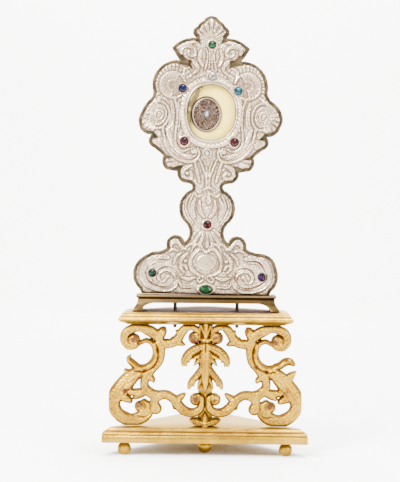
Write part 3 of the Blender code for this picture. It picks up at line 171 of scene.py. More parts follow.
def overlaid(tree, mask, under, over, blend="MIX"):
    """One plain colour over another where a mask says, by the colour sockets of a Mix node."""
    mix = tree.nodes.new("ShaderNodeMix")
    mix.data_type = "RGBA"
    mix.blend_type = blend
    mix.inputs[7].default_value = (*over, 1.0)
    tree.links.new(mask, mix.inputs[0])
    tree.links.new(under, mix.inputs[6])
    return mix.outputs[2]


def feed(tree, shader, **sources):
    """Links what changes over the surface to the shader's sockets."""
    for socket, source in sources.items():
        tree.links.new(source, shader.inputs[socket.replace("_", " ")])


def roughened(tree, shader, height, strength, distance):
    """Fine unevenness, too small for the mesh."""
    bump = tree.nodes.new("ShaderNodeBump")
    bump.inputs["Strength"].default_value = strength
    bump.inputs["Distance"].default_value = distance
    tree.links.new(height, bump.inputs["Height"])
    feed(tree, shader, Normal=bump.outputs["Normal"])


# Shared finish: how deep a spot lies in its carving, with any painted shade the piece adds to that, and how
# cloudy, specked and rubbed it is
age_group = bpy.data.node_groups.new("age_and_hollows", "ShaderNodeTree")
AGE_INPUTS = {"Hollow Depth": 1.0, "Cloud Scale": 40.0, "Speck Scale": 900.0, "Speck Amount": 0.3}
for socket, value in AGE_INPUTS.items():
    made = age_group.interface.new_socket(socket, in_out="INPUT", socket_type="NodeSocketFloat")
    made.default_value = value
for socket in ("Hollow", "Crest", "Cloud", "Specks"):
    age_group.interface.new_socket(socket, in_out="OUTPUT", socket_type="NodeSocketFloat")
age_in = age_group.nodes.new("NodeGroupInput").outputs
age_out = age_group.nodes.new("NodeGroupOutput").inputs
depth = age_group.nodes.new("ShaderNodeAttribute")
depth.attribute_name = "hollow"
scaled = reckoned(age_group, "DIVIDE", depth.outputs["Fac"], age_in["Hollow Depth"])
cloud = textured(age_group, "Noise", Detail=4.0, Roughness=0.6)
age_group.links.new(age_in["Cloud Scale"], cloud.inputs["Scale"])
speck = textured(age_group, "Noise", Detail=3.0, Roughness=0.75)
age_group.links.new(age_in["Speck Scale"], speck.inputs["Scale"])
MOST_NOISE = 0.78
speck_floor = reckoned(age_group, "SUBTRACT", MOST_NOISE, age_in["Speck Amount"])
speck_cut = reckoned(age_group, "SUBTRACT", speck.outputs["Fac"], speck_floor)
age_group.links.new(stretched(age_group, scaled, 0.0, 1.0), age_out["Hollow"])
age_group.links.new(stretched(age_group, scaled, 0.0, -1.0), age_out["Crest"])
age_group.links.new(cloud.outputs["Fac"], age_out["Cloud"])
age_group.links.new(stretched(age_group, speck_cut, 0.0, 0.06), age_out["Specks"])


def aged(tree, **values):
    """Places the shared finish in a material, and gives its masks."""
    made = tree.nodes.new("ShaderNodeGroup")
    made.node_tree = age_group
    for socket, value in values.items():
        made.inputs[socket.replace("_", " ")].default_value = value
    return made.outputs


RED_BOLE = (0.050, 0.011, 0.004)
GILDING_DIRT = (0.42, 0.27, 0.16)


def gold_leaf(name, light, middle, hollow, bole_amount, speck_amount, roughness):
    """Leaf over gesso, painted shade in its hollows, bole where it is rubbed through, and dirt."""
    finish, tree, shader = principled(name, Specular_Tint=(1.0, 0.78, 0.36, 1.0))
    age = aged(tree, Hollow_Depth=1.3, Cloud_Scale=45.0, Speck_Scale=700.0, Speck_Amount=speck_amount)
    # Painted shade: the hollow colour darkens the leaf where the piece is marked hollow or shaded
    leaf = overlaid(tree, age["Hollow"], toned(tree, age["Cloud"], [(0.36, middle), (0.60, light)]), hollow)
    rub = textured(tree, "Noise", Scale=75.0, Detail=6.0, Roughness=0.7)
    handled = tree.nodes.new("ShaderNodeAttribute")
    handled.attribute_name = "worn"
    exposed = reckoned(tree, "MULTIPLY_ADD", age["Crest"], 0.10, handled.outputs["Fac"])
    rubbed = reckoned(tree, "ADD", rub.outputs["Fac"], exposed)
    bole = stretched(tree, rubbed, 0.70 - bole_amount, 0.78 - bole_amount)
    leaf = overlaid(tree, bole, leaf, RED_BOLE)
    leaf = overlaid(tree, age["Specks"], leaf, GILDING_DIRT, "MULTIPLY")
    unburnished = reckoned(tree, "ADD", bole, age["Hollow"])
    feed(tree, shader, Base_Color=leaf, Metallic=stretched(tree, bole, 0.0, 1.0, 0.80, 0.40),
         Roughness=stretched(tree, unburnished, 0.0, 1.0, roughness, roughness + 0.40))
    gesso = textured(tree, "Noise", Scale=300.0, Detail=6.0, Roughness=0.7)
    roughened(tree, shader, gesso.outputs["Fac"], 0.55, 0.0009)
    return finish


def lofted(name, rings, hollows=None):
    """A closed solid through rings of points, from its underside up, made from a ball's own rings."""
    rings = np.array(rings)
    count, sides = rings.shape[:2]
    bpy.ops.object.select_all(action="DESELECT")
    bpy.ops.mesh.primitive_uv_sphere_add(segments=sides, ring_count=count + 1, radius=1.0)
    piece = bpy.context.object
    piece.name = name
    depth_mark = piece.data.attributes.new("hollow", "FLOAT", "POINT")
    for vertex in piece.data.vertices:
        level = (count + 1) * math.acos(max(-1.0, min(1.0, -vertex.co.z))) / math.pi - 1
        row = min(max(round(level), 0), count - 1)
        turn = math.atan2(-vertex.co.x, vertex.co.y) / (2 * math.pi) * sides
        pole = abs(vertex.co.z) > 0.99999
        vertex.co = rings[row].mean(axis=0) if pole else rings[row][round(turn) % sides]
        if hollows is not None:
            depth_mark.data[vertex.index].value = hollows[row]
    work = bmesh.new()
    work.from_mesh(piece.data)
    bmesh.ops.recalc_face_normals(work, faces=work.faces)
    work.to_mesh(piece.data)
    work.free()
    return piece


def pick(*pieces):
    """Selects these pieces alone, with the last of them active."""
    bpy.ops.object.select_all(action="DESELECT")
    for piece in pieces:
        piece.select_set(True)
    bpy.context.view_layer.objects.active = pieces[-1]


def apply_change(piece, kind, **settings):
    """Adds one modifier to a piece and applies it."""
    pick(piece)
    change = piece.modifiers.new("change", kind)
    for setting, value in settings.items():
        setattr(change, setting, value)
    bpy.ops.object.modifier_apply(modifier=change.name)


def cut_away(piece, cutter):
    apply_change(piece, "BOOLEAN", object=cutter, operation="DIFFERENCE", solver="MANIFOLD")
    bpy.data.objects.remove(cutter)


def ease_edges(piece, width, degrees=50):
    apply_change(piece, "BEVEL", width=width, segments=2, limit_method="ANGLE",
                 angle_limit=math.radians(degrees))


def dress(piece, node, finish, angle=45.0):
    """Gives a piece its material and smooth stretches, and puts it in the place of its CAD node."""
    piece.data.materials.clear()
    piece.data.materials.append(finish)
    pick(piece)
    bpy.ops.object.shade_smooth_by_angle(angle=math.radians(angle))
    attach(piece, "root")
    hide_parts(node)


def shield_plan(box, side, tail):
    """Corners of a board: straight front, short sides, and two rear edges to a cut tail."""
    (left, front, _), (right, back, _) = box
    return np.array([(left, front), (right, front), (right, front + side), (tail / 2, back),
                     (-tail / 2, back), (left, front + side)])


def edge_directions(corners):
    """The way along each edge of a plan, and the way inwards from it."""
    ahead = np.roll(corners, -1, axis=0) - corners
    ahead /= np.linalg.norm(ahead, axis=1)[:, None]
    return ahead, np.stack([-ahead[:, 1], ahead[:, 0]], axis=1)


def inset_plan(corners, inset):
    _, inward = edge_directions(corners)
    before = np.roll(inward, 1, axis=0)
    return corners + (inward + before) / (1 + (inward * before).sum(axis=1))[:, None] * inset


def swept_board(name, plan, profile, underside):
    """A board swept with its edge profile: steps of (rise, inset, hollow) in millimetres."""
    rings = []
    for rise, inset, _ in profile:
        ring = inset_plan(plan, inset / 1000)
        rings.append(np.column_stack([ring, np.full(len(ring), underside + rise / 1000)]))
    return lofted(name, rings, [hollow for _, _, hollow in profile])


def arc_steps(low, high, start, end, bulge, hollow, count=8):
    """Steps of a moulding's round or cove between two (rise, inset) points, bulged outwards."""
    steps = []
    for i in range(count + 1):
        t = i / count
        swell = math.sin(math.pi * t)
        steps.append((low + (high - low) * t, start + (end - start) * t - bulge * swell, hollow * swell))
    return steps


BOTTOM_BOARD, TOP_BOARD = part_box("bottom_board"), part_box("top_board")
BOTTOM_SIDE, BOTTOM_TAIL = 0.019, 0.020
TOP_SIDE, TOP_TAIL = 0.088, 0.027
BOARD_EASE = 0.00025
# The third number of each step marks how hollow the leaf lies there; it darkens the leaf as painted shade in
# the recesses between the mouldings, and negative numbers mark crests
bottom_profile = [(0.0, 0.5, 0.2), (0.5, 0.0, -0.4), (4.0, 0.0, 0.0), (7.9, 0.0, -0.5), (8.4, 0.35, 0.4),
                  (8.5, 1.15, 1.6), (9.2, 1.15, 1.6)]
bottom_profile += arc_steps(9.3, 12.5, 0.6, 3.2, 1.15, -0.5)
bottom_profile += [(12.6, 4.3, 1.5), (12.9, 4.5, 1.2), (14.4, 6.4, 0.0), (15.8, 7.9, -0.3), (16.2, 8.5, 0.3)]
bottom_board = swept_board("gilded_bottom_board", shield_plan(BOTTOM_BOARD, BOTTOM_SIDE, BOTTOM_TAIL),
                           bottom_profile, BOTTOM_BOARD[0][2])
top_profile = [(0.0, 9.8, 0.3), (0.7, 9.4, 0.2)]
top_profile += arc_steps(0.9, 4.6, 8.6, 1.1, 1.4, 0.1)
top_profile += [(4.8, 0.6, 0.7), (5.1, 0.1, -0.5), (5.8, 0.0, -0.7)]
top_profile += arc_steps(6.1, 8.7, 0.4, 2.5, 0.6, -0.3)
top_profile += [(8.8, 3.2, 1.0), (9.2, 3.3, 0.9)]
top_profile += arc_steps(9.4, 12.7, 3.3, 6.7, 1.1, -0.2)
# The top board's flat top is marked 1.3, painted shade that darkens it under the brass foot
top_profile += [(12.95, 7.0, 0.1), (13.2, 7.6, 0.2), (13.2, 24.0, 1.3)]
top_plan = shield_plan(TOP_BOARD, TOP_SIDE, TOP_TAIL)
top_board = swept_board("gilded_top_board", top_plan, top_profile, TOP_BOARD[0][2])


def middle_of(box):
    """The middle of a node's box, seen from above."""
    return (box[0][0] + box[1][0]) / 2, (box[0][1] + box[1][1]) / 2


# Bores for the two pins
PIN_NAMES = ("fixing_pin_left", "fixing_pin_right")
PIN_ROOM = 0.0003
for pin_name in PIN_NAMES:
    pin_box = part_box(pin_name)
    bpy.ops.object.select_all(action="DESELECT")
    bpy.ops.mesh.primitive_cylinder_add(
        vertices=24, radius=(pin_box[1][0] - pin_box[0][0]) / 2 + PIN_ROOM, depth=0.06,
        location=(*middle_of(pin_box), TOP_BOARD[0][2]))
    cut_away(top_board, bpy.context.object)

board_gold = gold_leaf("gilded_mouldings", (0.31, 0.180, 0.010), (0.190, 0.103, 0.005), (0.080, 0.025, 0.002),
                       0.03, 0.17, 0.27)
for board, board_name in ((bottom_board, "bottom_board"), (top_board, "top_board")):
    ease_edges(board, BOARD_EASE)
    dress(board, board_name, board_gold)

# Top of the upper board under the plaque's foot: never gilded, only bole over gesso, dull, and darkened
# further by painted shade from the brass foot. It starts just in front of the brass foot and ends inside the
# board's edges.
SHADED_BOLE_INSET = 0.0235
bole_with_painted_shade, tree, shader = principled("bole_with_painted_shade", Roughness=0.9, Specular_IOR_Level=0.08)
age = aged(tree, Hollow_Depth=0.3, Cloud_Scale=60.0, Speck_Scale=500.0, Speck_Amount=0.2)
# Painted shade: the bole's tones are made dark for the shadow of the brass foot
bole_shade_tone = toned(tree, age["Cloud"], [(0.35, (0.020, 0.0065, 0.004)), (0.62, (0.036, 0.012, 0.008))])
feed(tree, shader, Base_Color=bole_shade_tone)
top_board.data.materials.append(bole_with_painted_shade)
shaded_bole_plan = inset_plan(top_plan, SHADED_BOLE_INSET)
_, inward = edge_directions(shaded_bole_plan)
for face in top_board.data.polygons:
    corners = [np.array(top_board.data.vertices[corner].co[:2]) for corner in face.vertices]
    if face.normal.z > 0.9 and min(((spot - shaded_bole_plan) * inward).sum(axis=1).min() for spot in corners) > 0:
        face.material_index = 1

# Ball feet: turned, each with a small neck under the bottom board, gilt like the boards.
# Two stand at the front corners, one behind them in the middle and one under the tail.
def turned(name, centre, profile, sides=40, hollows=None):
    """A solid turned about an upright line, through (radius, height) points from its foot up."""
    angles = np.arange(sides) * 2 * math.pi / sides
    rings = [[(centre[0] + r * math.cos(a), centre[1] + r * math.sin(a), z) for a in angles]
             for r, z in profile]
    return lofted(name, rings, hollows)


BALL_RADIUS, FLAT_RADIUS, NECK_RADIUS = 0.00775, 0.0026, 0.0040
BALL_MIDDLE = math.sqrt(BALL_RADIUS ** 2 - FLAT_RADIUS ** 2)
BALL_START = -math.acos(FLAT_RADIUS / BALL_RADIUS)
BALL_END = math.acos(NECK_RADIUS / BALL_RADIUS)
# The neck's rings: how much wider than the neck, how far below its top, and how deep
NECK_RINGS = [(0.0, 0.0011, 1.2), (0.0011, 0.0009, 0.2), (0.0012, 0.0002, 0.0), (0.0008, 0.0, 0.0)]
for foot_name in ("ball_foot_left", "ball_foot_right", "ball_foot_middle", "ball_foot_back"):
    foot_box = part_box(foot_name)
    foot_profile, marks = [], []
    for i in range(17):
        angle = BALL_START + (BALL_END - BALL_START) * i / 16
        foot_profile.append((BALL_RADIUS * math.cos(angle), BALL_MIDDLE + BALL_RADIUS * math.sin(angle)))
        # The upper ball, under the bottom board, is marked darker as painted shade, and so is the neck's
        # lowest ring
        marks.append(0.9 * max(0.0, i - 12) / 4)
    for wider, below, hollow in NECK_RINGS:
        foot_profile.append((NECK_RADIUS + wider, foot_box[1][2] - below))
        marks.append(hollow)
    foot = turned("turned_" + foot_name, middle_of(foot_box), foot_profile, 40, marks)
    dress(foot, foot_name, board_gold, 60)

# Carved scroll panels: limewood fretted to C-scrolls and a worn acanthus leaf, carved in front,
# gessoed and water-gilt over red-brown bole. They mirror each other but for a few strokes, and
# are glued between the boards.
def smooth_line(points, step=1.2):
    """A Catmull-Rom curve through (across, up, width) points on a carver's drawing, in millimetres."""
    points = np.array(points, float)
    ends = np.vstack([2 * points[0] - points[1], points, 2 * points[-1] - points[-2]])
    line = [points[0]]
    for i in range(1, len(ends) - 2):
        a, b, c, d = ends[i - 1:i + 3]
        count = max(2, round(np.linalg.norm((c - b)[:2]) / step))
        t = (np.arange(1, count + 1) / count)[:, None]
        line.extend(0.5 * (2 * b + (c - a) * t + (2 * a - 5 * b + 4 * c - d) * t ** 2
                           + (3 * b - a - 3 * c + d) * t ** 3))
    line = np.array(line)
    line[:, 2] = np.maximum(line[:, 2], 0.4)
    return line


class CarvingGround:
    """A flat drawing in millimetres that strokes raise into relief, cell by cell."""

    def __init__(self, low, high, cell):
        self.cell = cell
        self.across = np.arange(low[0], high[0] + cell, cell)
        self.up = np.arange(low[1], high[1] + cell, cell)
        self.x, self.z = np.meshgrid(self.across, self.up)
        self.height = np.zeros(self.x.shape)
        self.inside = np.full(self.x.shape, -9.0)
        self.grime_and_shade = np.zeros(self.x.shape)
        self.worn = np.zeros(self.x.shape)

    def window(self, line, margin):
        """The rows and columns that a line with its width covers."""
        reach = line[:, 2].max() / 2 + margin
        low = line[:, :2].min(axis=0) - reach
        high = line[:, :2].max(axis=0) + reach
        columns = slice(*np.searchsorted(self.across, (low[0], high[0])))
        rows = slice(*np.searchsorted(self.up, (low[1], high[1])))
        return rows, columns

    def measure(self, line, margin=1.0):
        """Signed distance over half width, length along, and width, near each cell of a line."""
        rows, columns = self.window(line, margin)
        x, z = self.x[rows, columns].ravel(), self.z[rows, columns].ravel()
        start, step = line[:-1], np.diff(line[:, :2], axis=0)
        length = np.maximum(np.linalg.norm(step, axis=1), 1e-6)
        run = np.concatenate([[0.0], np.cumsum(length)])
        best = np.full(len(x), 1e9)
        ratio, along, width = np.zeros(len(x)), np.zeros(len(x)), np.ones(len(x))
        for i in range(len(step)):
            ox, oz = x - start[i, 0], z - start[i, 1]
            t = np.clip((ox * step[i, 0] + oz * step[i, 1]) / length[i] ** 2, 0, 1)
            away = np.hypot(ox - t * step[i, 0], oz - t * step[i, 1])
            w = line[i, 2] + t * (line[i + 1, 2] - line[i, 2])
            score = away / (w / 2)
            closer = score < best
            side = np.sign(step[i, 0] * oz - step[i, 1] * ox)
            best = np.where(closer, score, best)
            ratio = np.where(closer, score * np.where(side == 0, 1, side), ratio)
            along = np.where(closer, run[i] + t * length[i], along)
            width = np.where(closer, w, width)
        shape = self.x[rows, columns].shape
        return rows, columns, ratio.reshape(shape), along.reshape(shape), width.reshape(shape), run[-1]

    def raise_line(self, line, rise, form, base=0.0):
        """Lifts the ground to base plus rise times the form's cross-section."""
        rows, columns, ratio, along, width, total = self.measure(line)
        shape = form(ratio, along, width, total)
        lifted = np.where(abs(ratio) < 1, base + rise * shape, -1e9)
        self.height[rows, columns] = np.maximum(self.height[rows, columns], lifted)
        self.inside[rows, columns] = np.maximum(self.inside[rows, columns],
                                                (1 - abs(ratio)) * width / 2)

    def sink_line(self, line, depth):
        """Cuts a rounded groove along a line."""
        rows, columns, ratio, _, _, _ = self.measure(line)
        self.height[rows, columns] -= depth * np.clip(1 - ratio ** 2, 0, 1) ** 1.5

    def depth_at(self, point):
        """How far inside the outline a drawing point lies, read between the cells."""
        column, row = (point[0] - self.across[0]) / self.cell, (point[1] - self.up[0]) / self.cell
        c, r = int(column), int(row)
        near = self.inside[r:r + 2, c:c + 2]
        lower = near[0, 0] + (near[0, 1] - near[0, 0]) * (column - c)
        upper = near[1, 0] + (near[1, 1] - near[1, 0]) * (column - c)
        return lower + (upper - lower) * (row - r)

    def soften(self, amount, rounds=1):
        """Rubs the relief smooth over a few cells."""
        self.height = blurred(self.height, amount / self.cell, rounds)


def blurred(values, cells, rounds=1):
    reach = max(1, int(cells * 2.5))
    weights = np.exp(-0.5 * (np.arange(-reach, reach + 1) / max(cells, 0.3)) ** 2)
    weights /= weights.sum()
    for _ in range(rounds):
        for axis in (0, 1):
            padded = np.pad(values, [(reach, reach) if a == axis else (0, 0) for a in (0, 1)], "edge")
            size = values.shape[axis]
            values = sum(w * np.take(padded, range(k, k + size), axis) for k, w in enumerate(weights))
    return values


def rolled(inside, reach):
    """A rounded edge, from 0 at the outline to 1 at its reach inside."""
    return np.sqrt(1 - (1 - np.clip(inside / reach, 0, 1)) ** 2)


def close_back(work, rear, partner, ground, drawn):
    """Fills the flat back between its border vertices, and leaves the carving's openings open."""
    number = {vertex: i for i, vertex in enumerate(rear)}
    edges = []
    for vertex in rear:
        for edge in vertex.link_edges:
            other = edge.other_vert(vertex)
            if other in number and number[vertex] < number[other]:
                edges.append((number[vertex], number[other]))
    flat = [Vector(drawn[i]) for i in partner]
    points, _, triangles, sources, _, _ = delaunay_2d_cdt(flat, edges, [], 0, 1e-7)
    starts = [source[0] if source else None for source in sources]
    for triangle in triangles:
        middle = sum((points[i] for i in triangle), Vector((0, 0))) / 3
        corners = [starts[i] for i in triangle]
        if None not in corners and len(set(corners)) == 3 and ground.depth_at(middle) > 0:
            work.faces.new([rear[i] for i in corners])


def solid_from_ground(name, ground, place, hollow_reach=1.6, back_closed=True):
    """A closed carving: the ground's relief in front, cut to its outline, and a flat back."""
    bpy.ops.object.select_all(action="DESELECT")
    rows, columns = ground.x.shape
    bpy.ops.mesh.primitive_grid_add(x_subdivisions=columns - 1, y_subdivisions=rows - 1, size=1.0)
    piece = bpy.context.object
    piece.name = name
    mesh = piece.data
    edge = ground.inside
    fall_z, fall_x = np.gradient(edge, ground.cell)
    steep = np.maximum(np.hypot(fall_x, fall_z), 0.2)
    outside = edge < 0
    pull = np.clip(np.where(outside, -edge / steep, 0.0), 0, 1.5 * ground.cell)
    x = (ground.x + fall_x / steep * pull).ravel()
    z = (ground.z + fall_z / steep * pull).ravel()
    mesh.vertices.foreach_set("co", place(x, z, ground.height.ravel()).astype(np.float32).ravel())
    behind = place(x, z, np.zeros(len(x)))
    solid = np.where(outside, 0.0, 1.0)
    reach = hollow_reach / ground.cell
    around = blurred(ground.height * solid, reach) / np.maximum(blurred(solid, reach), 0.05)
    # The hollow mark: depth below the neighbours plus the ground's painted shade and grime, which the
    # finishes darken
    shade = mesh.attributes.new("hollow", "FLOAT", "POINT")
    shade.data.foreach_set("value", (around - ground.height + ground.grime_and_shade).astype(np.float32).ravel())
    rub = mesh.attributes.new("worn", "FLOAT", "POINT")
    rub.data.foreach_set("value", ground.worn.astype(np.float32).ravel())
    work = bmesh.new()
    work.from_mesh(mesh)
    hidden = outside.ravel()
    work.verts.ensure_lookup_table()
    gone = [face for face in work.faces if all(hidden[v.index] for v in face.verts)]
    numbers = {vertex: vertex.index for vertex in work.verts}
    bmesh.ops.delete(work, geom=gone, context="FACES")
    border = [e for e in work.edges if e.is_boundary]
    wall = bmesh.ops.extrude_edge_only(work, edges=border)["geom"]
    rear = [v for v in wall if isinstance(v, bmesh.types.BMVert)]
    partner = []
    for vertex in rear:
        fronts = [e.other_vert(vertex) for e in vertex.link_edges if e.other_vert(vertex) in numbers]
        partner.append(numbers[fronts[0]])
        vertex.co = behind[partner[-1]]
    if back_closed:
        close_back(work, rear, partner, ground, np.column_stack([x, z]))
    bmesh.ops.recalc_face_normals(work, faces=work.faces)
    work.to_mesh(mesh)
    work.free()
    mesh.update()
    return piece


def rounded(ratio, along, width, total):
    return np.sqrt(np.clip(1 - ratio ** 2, 0, 1))


def flat_scroll(ratio, along, width, total):
    """A band with soft shoulders and a faint hollow down its middle."""
    body = np.clip(1 - abs(ratio) ** 3.4, 0, 1) ** 0.55
    return body - 0.16 * np.exp(-(ratio / 0.38) ** 2)


def keeled(ratio, along, width, total):
    """A thin moulding with a crisp crest between two coves."""
    return np.clip(1 - abs(ratio), 0, 1) ** 0.8


def leaf_blade(ratio, along, width, total):
    """A leaf with a cut midrib and slanting side veins."""
    body = np.clip(1 - abs(ratio) ** 2.4, 0, 1) ** 0.6
    midrib = 0.26 * np.exp(-(ratio / 0.12) ** 2)
    slant = (along - 0.8 * abs(ratio) * width / 2) / 3.6
    veins = 0.17 * (0.5 + 0.5 * np.cos(2 * math.pi * slant)) * np.clip(abs(ratio) * 1.6, 0, 1)
    return body - midrib - veins


# Strokes: (distance from the middle, height, width) along each, its form, its rise and its base
PANEL_CARVING = [
    # Outer top volute and its shoulder
    ([(54, 102, 10), (63, 108, 11), (73.5, 111.6, 9), (82.5, 111, 9), (90.5, 106.5, 9), (92.5, 98.5, 9),
      (88.5, 92, 8.5), (82, 91, 7), (77.5, 93, 5)], flat_scroll, 4.8, 8.0),
    # Inner C-scroll with its hooked tip
    ([(75, 94.5, 4.5), (67.5, 97.5, 5), (60.5, 94, 5.5), (57.5, 87, 6), (57, 79.5, 7), (61, 71.5, 7),
      (68.5, 66.5, 7), (77, 66.5, 7), (81, 69, 7)], keeled, 5.0, 6.4),
    # Outer C-band that runs down into the waist
    ([(55, 104, 9), (51.5, 96.5, 8.5), (50.5, 85, 8), (53, 73.5, 8), (60, 65, 8), (65.5, 59, 10),
      (69.5, 49.5, 8.5), (67.5, 42, 9), (60, 36, 10), (55.5, 35, 10)], flat_scroll, 4.6, 7.6),
    ([(65, 57.5, 8), (60, 53, 5.5), (58.5, 50.5, 2.5)], rounded, 4.0, 7.6),
    # Leaf at the crest
    ([(53.5, 101, 10), (50, 107.5, 9.5), (48, 111, 5)], leaf_blade, 5.0, 7.8),
    # Bridge to the scroll beside the pillar
    ([(54, 93, 9), (46, 94, 9.5), (38, 95, 9), (32, 99.5, 9.5), (28.5, 105.5, 9), (24, 111, 8.5),
      (17, 113, 6), (9.5, 110, 7), (7, 103.5, 5.5), (8.5, 98, 4.5)], flat_scroll, 4.8, 7.8),
    ([(29.5, 105.5, 7), (33, 108.5, 3)], rounded, 4.0, 7.6),
    ([(36, 97.5, 9), (29, 95, 6), (24.5, 93, 2.5)], leaf_blade, 4.2, 7.8),
    # Acanthus leaf that rolls into the outer foot volute
    ([(75, 61, 10), (83.5, 56.5, 14.5), (93.5, 45, 17), (101.5, 34.5, 16), (103.5, 25.5, 13.5)],
     leaf_blade, 5.0, 7.8),
    ([(101.5, 34.5, 15), (103.5, 25.5, 13.5), (101.5, 16.5, 12), (94, 9.5, 12.5), (85, 7, 13.4),
      (74.5, 8.6, 13), (67.5, 15, 14), (66, 22, 10), (69.5, 26, 8)], flat_scroll, 4.8, 8.0),
    ([(94, 32.5, 9), (87, 29.5, 7), (84.5, 27.5, 3.5)], rounded, 4.4, 7.6),
    ([(70.5, 38.5, 9), (75.5, 35, 7.5), (80, 32, 4.5)], leaf_blade, 4.4, 7.6),
    ([(85, 38, 7), (76, 38, 8), (68, 39.5, 8)], leaf_blade, 4.0, 7.2),
    # Arched C-scroll
    ([(56, 19.5, 11.5), (58, 26.5, 9), (54, 33.5, 10), (45, 35.5, 9), (37, 31.5, 9), (32.5, 26, 9)],
     flat_scroll, 4.8, 7.8),
    ([(33.5, 27.5, 9), (35, 22.5, 4.5), (35.5, 19, 1.5)], rounded, 4.0, 7.4),
    ([(30.5, 31, 8), (26, 34.5, 5.5), (23.5, 36.5, 3)], leaf_blade, 4.0, 7.4),
    # Inner foot scroll
    ([(33, 28.5, 9), (28.5, 21.5, 10), (21.5, 16.5, 9.5), (13.5, 15.5, 8.5), (6.5, 19, 8), (4, 25.5, 7),
      (4.5, 31.5, 7), (10.5, 34.5, 6), (15, 32.5, 4.5)], flat_scroll, 4.8, 7.8),
    # Eyes of the volutes
    ([(81.9, 98, 12.5), (82.1, 98, 12.5)], rounded, 5.2, 6.6),
    ([(12.4, 101, 12.5), (12.6, 101, 12.5)], rounded, 5.2, 6.6),
    ([(73.9, 22, 11), (74.1, 22, 11)], rounded, 5.0, 6.4),
    ([(10.9, 30, 11), (11.1, 30, 11)], rounded, 5.0, 6.4),
]
# Grooves between the mouldings and round the eyes: stroke and depth
PANEL_GROOVES = [
    ([(80, 63, 1.6), (71, 62.2, 2.4), (62.5, 65.5, 2.8), (56.2, 72, 3), (53.8, 80, 2.8), (54.2, 88, 2.4),
      (57, 95, 1.6)], 3.4),
    ([(58, 99, 1.4), (66, 103.5, 2.2), (75, 104.6, 2.2), (83, 104.5, 2.0), (88, 101, 1.6)], 1.4),
    ([(87.5, 95.5, 1.4), (88.6, 100, 2.0), (85.8, 104, 2.0), (80, 105.2, 1.6), (75.6, 101.5, 1.4)], 2.2),
    ([(17.5, 96.5, 1.4), (19, 102, 2.0), (16, 107, 2.0), (10, 107.2, 1.6), (6.6, 103, 1.2)], 2.2),
    ([(46, 98.5, 1.2), (38.5, 99.5, 1.8), (34, 104, 1.2)], 1.2),
    ([(60, 30, 1.4), (62.5, 22, 2.2), (62, 15, 2.2), (68, 10.6, 2), (78, 11.6, 1.8), (90, 14.2, 1.6),
      (97.2, 20.6, 1.4)], 1.8),
    ([(79.6, 20, 1.2), (78, 26.6, 1.8), (72, 28.2, 1.8), (68, 23.5, 1.6), (69.5, 18, 1.2)], 2.2),
    ([(99, 44, 1.0), (92, 52, 1.6), (83, 60, 1.2)], 1.2),
    ([(102, 30, 1.0), (97, 38.5, 1.8), (90, 46.5, 1.8), (80, 53.5, 1.4)], 1.5),
    ([(95, 29.5, 1.0), (91, 37, 1.8), (84, 44, 1.6), (76, 49, 1.2)], 1.3),
    ([(16.6, 31, 1.2), (14.5, 35.6, 1.6), (8.6, 36, 1.6), (6, 30.5, 1.6), (7.6, 25, 1.2)], 2.2),
    ([(30, 25, 1.2), (24, 20.5, 1.8), (16, 19.4, 1.6), (10, 22.4, 1.2)], 1.4),
    ([(56, 27, 1.2), (52, 31.5, 1.8), (45, 32.2, 1.8), (38, 28.6, 1.2)], 1.2),
    ([(62, 40, 1.2), (65.5, 46, 1.8), (64.5, 53, 1.4)], 1.0),
]
# What the carver did otherwise on each side: a drooping knob and a longer leaf on the right, and
# a hook that turns up and a short leaf on the left
RIGHT_CARVING = [
    ([(78, 67, 7), (85, 70, 7.5), (91, 74.2, 8), (96.4, 74.6, 7), (100.6, 71.4, 4)], keeled, 5.0, 6.4),
    ([(92, 50, 9), (96.5, 57.5, 8), (102.2, 62.8, 3)], leaf_blade, 4.0, 7.6),
]
LEFT_CARVING = [
    ([(77, 66.5, 7), (83.5, 71.5, 7.5), (87.5, 76.5, 5), (85.5, 81, 1)], keeled, 5.0, 6.4),
    ([(86.5, 58.5, 9), (91, 63.5, 3.5)], leaf_blade, 4.0, 7.6),
]


# Where hands and dusters have rubbed the leaf down to the bole: middle and reach
WORN_EYES = [(82, 98, 7), (12.5, 101, 7.5), (74, 22, 7), (11, 30, 7.5), (58, 68, 4), (90, 40, 5),
             (48, 110, 3)]
# The drawing's own edges, the height on it where the bottom board ends, how much fuller the
# strokes are carved than drawn, and the highest crest
DRAWING_LOW, DRAWING_HIGH = (0.3, 0.4), (110.0, 116.0)
DRAWING_FOOT = 0.3
FULLNESS = 1.2
PANEL_CREST = 13.0
panel_low, panel_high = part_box("carved_scroll_panel_right")
PANEL_SCALE_UP = (panel_high[2] - panel_low[2]) / 115.8
PANEL_SCALE_OUT = panel_high[0] / 110.25


def up_the_stand(z):
    return panel_low[2] + (z - DRAWING_FOOT) * PANEL_SCALE_UP


def across_the_stand(rear, side=1):
    """Places a drawing's relief in front of a depth, turned over for the left side."""
    return lambda x, z, height: np.stack([side * x * PANEL_SCALE_OUT, rear - height / 1000, up_the_stand(z)],
                                         axis=1)


def paint_shade_under_and_at_edge(ground, below, at_edge):
    """Painted shade on what looks down and along the carving's edge."""
    overhang = np.gradient(blurred(ground.height, 1.6), ground.cell)[0]
    ground.grime_and_shade = below * np.clip(overhang, 0, 1.2) + at_edge * np.clip(1 - ground.inside, 0, 1)


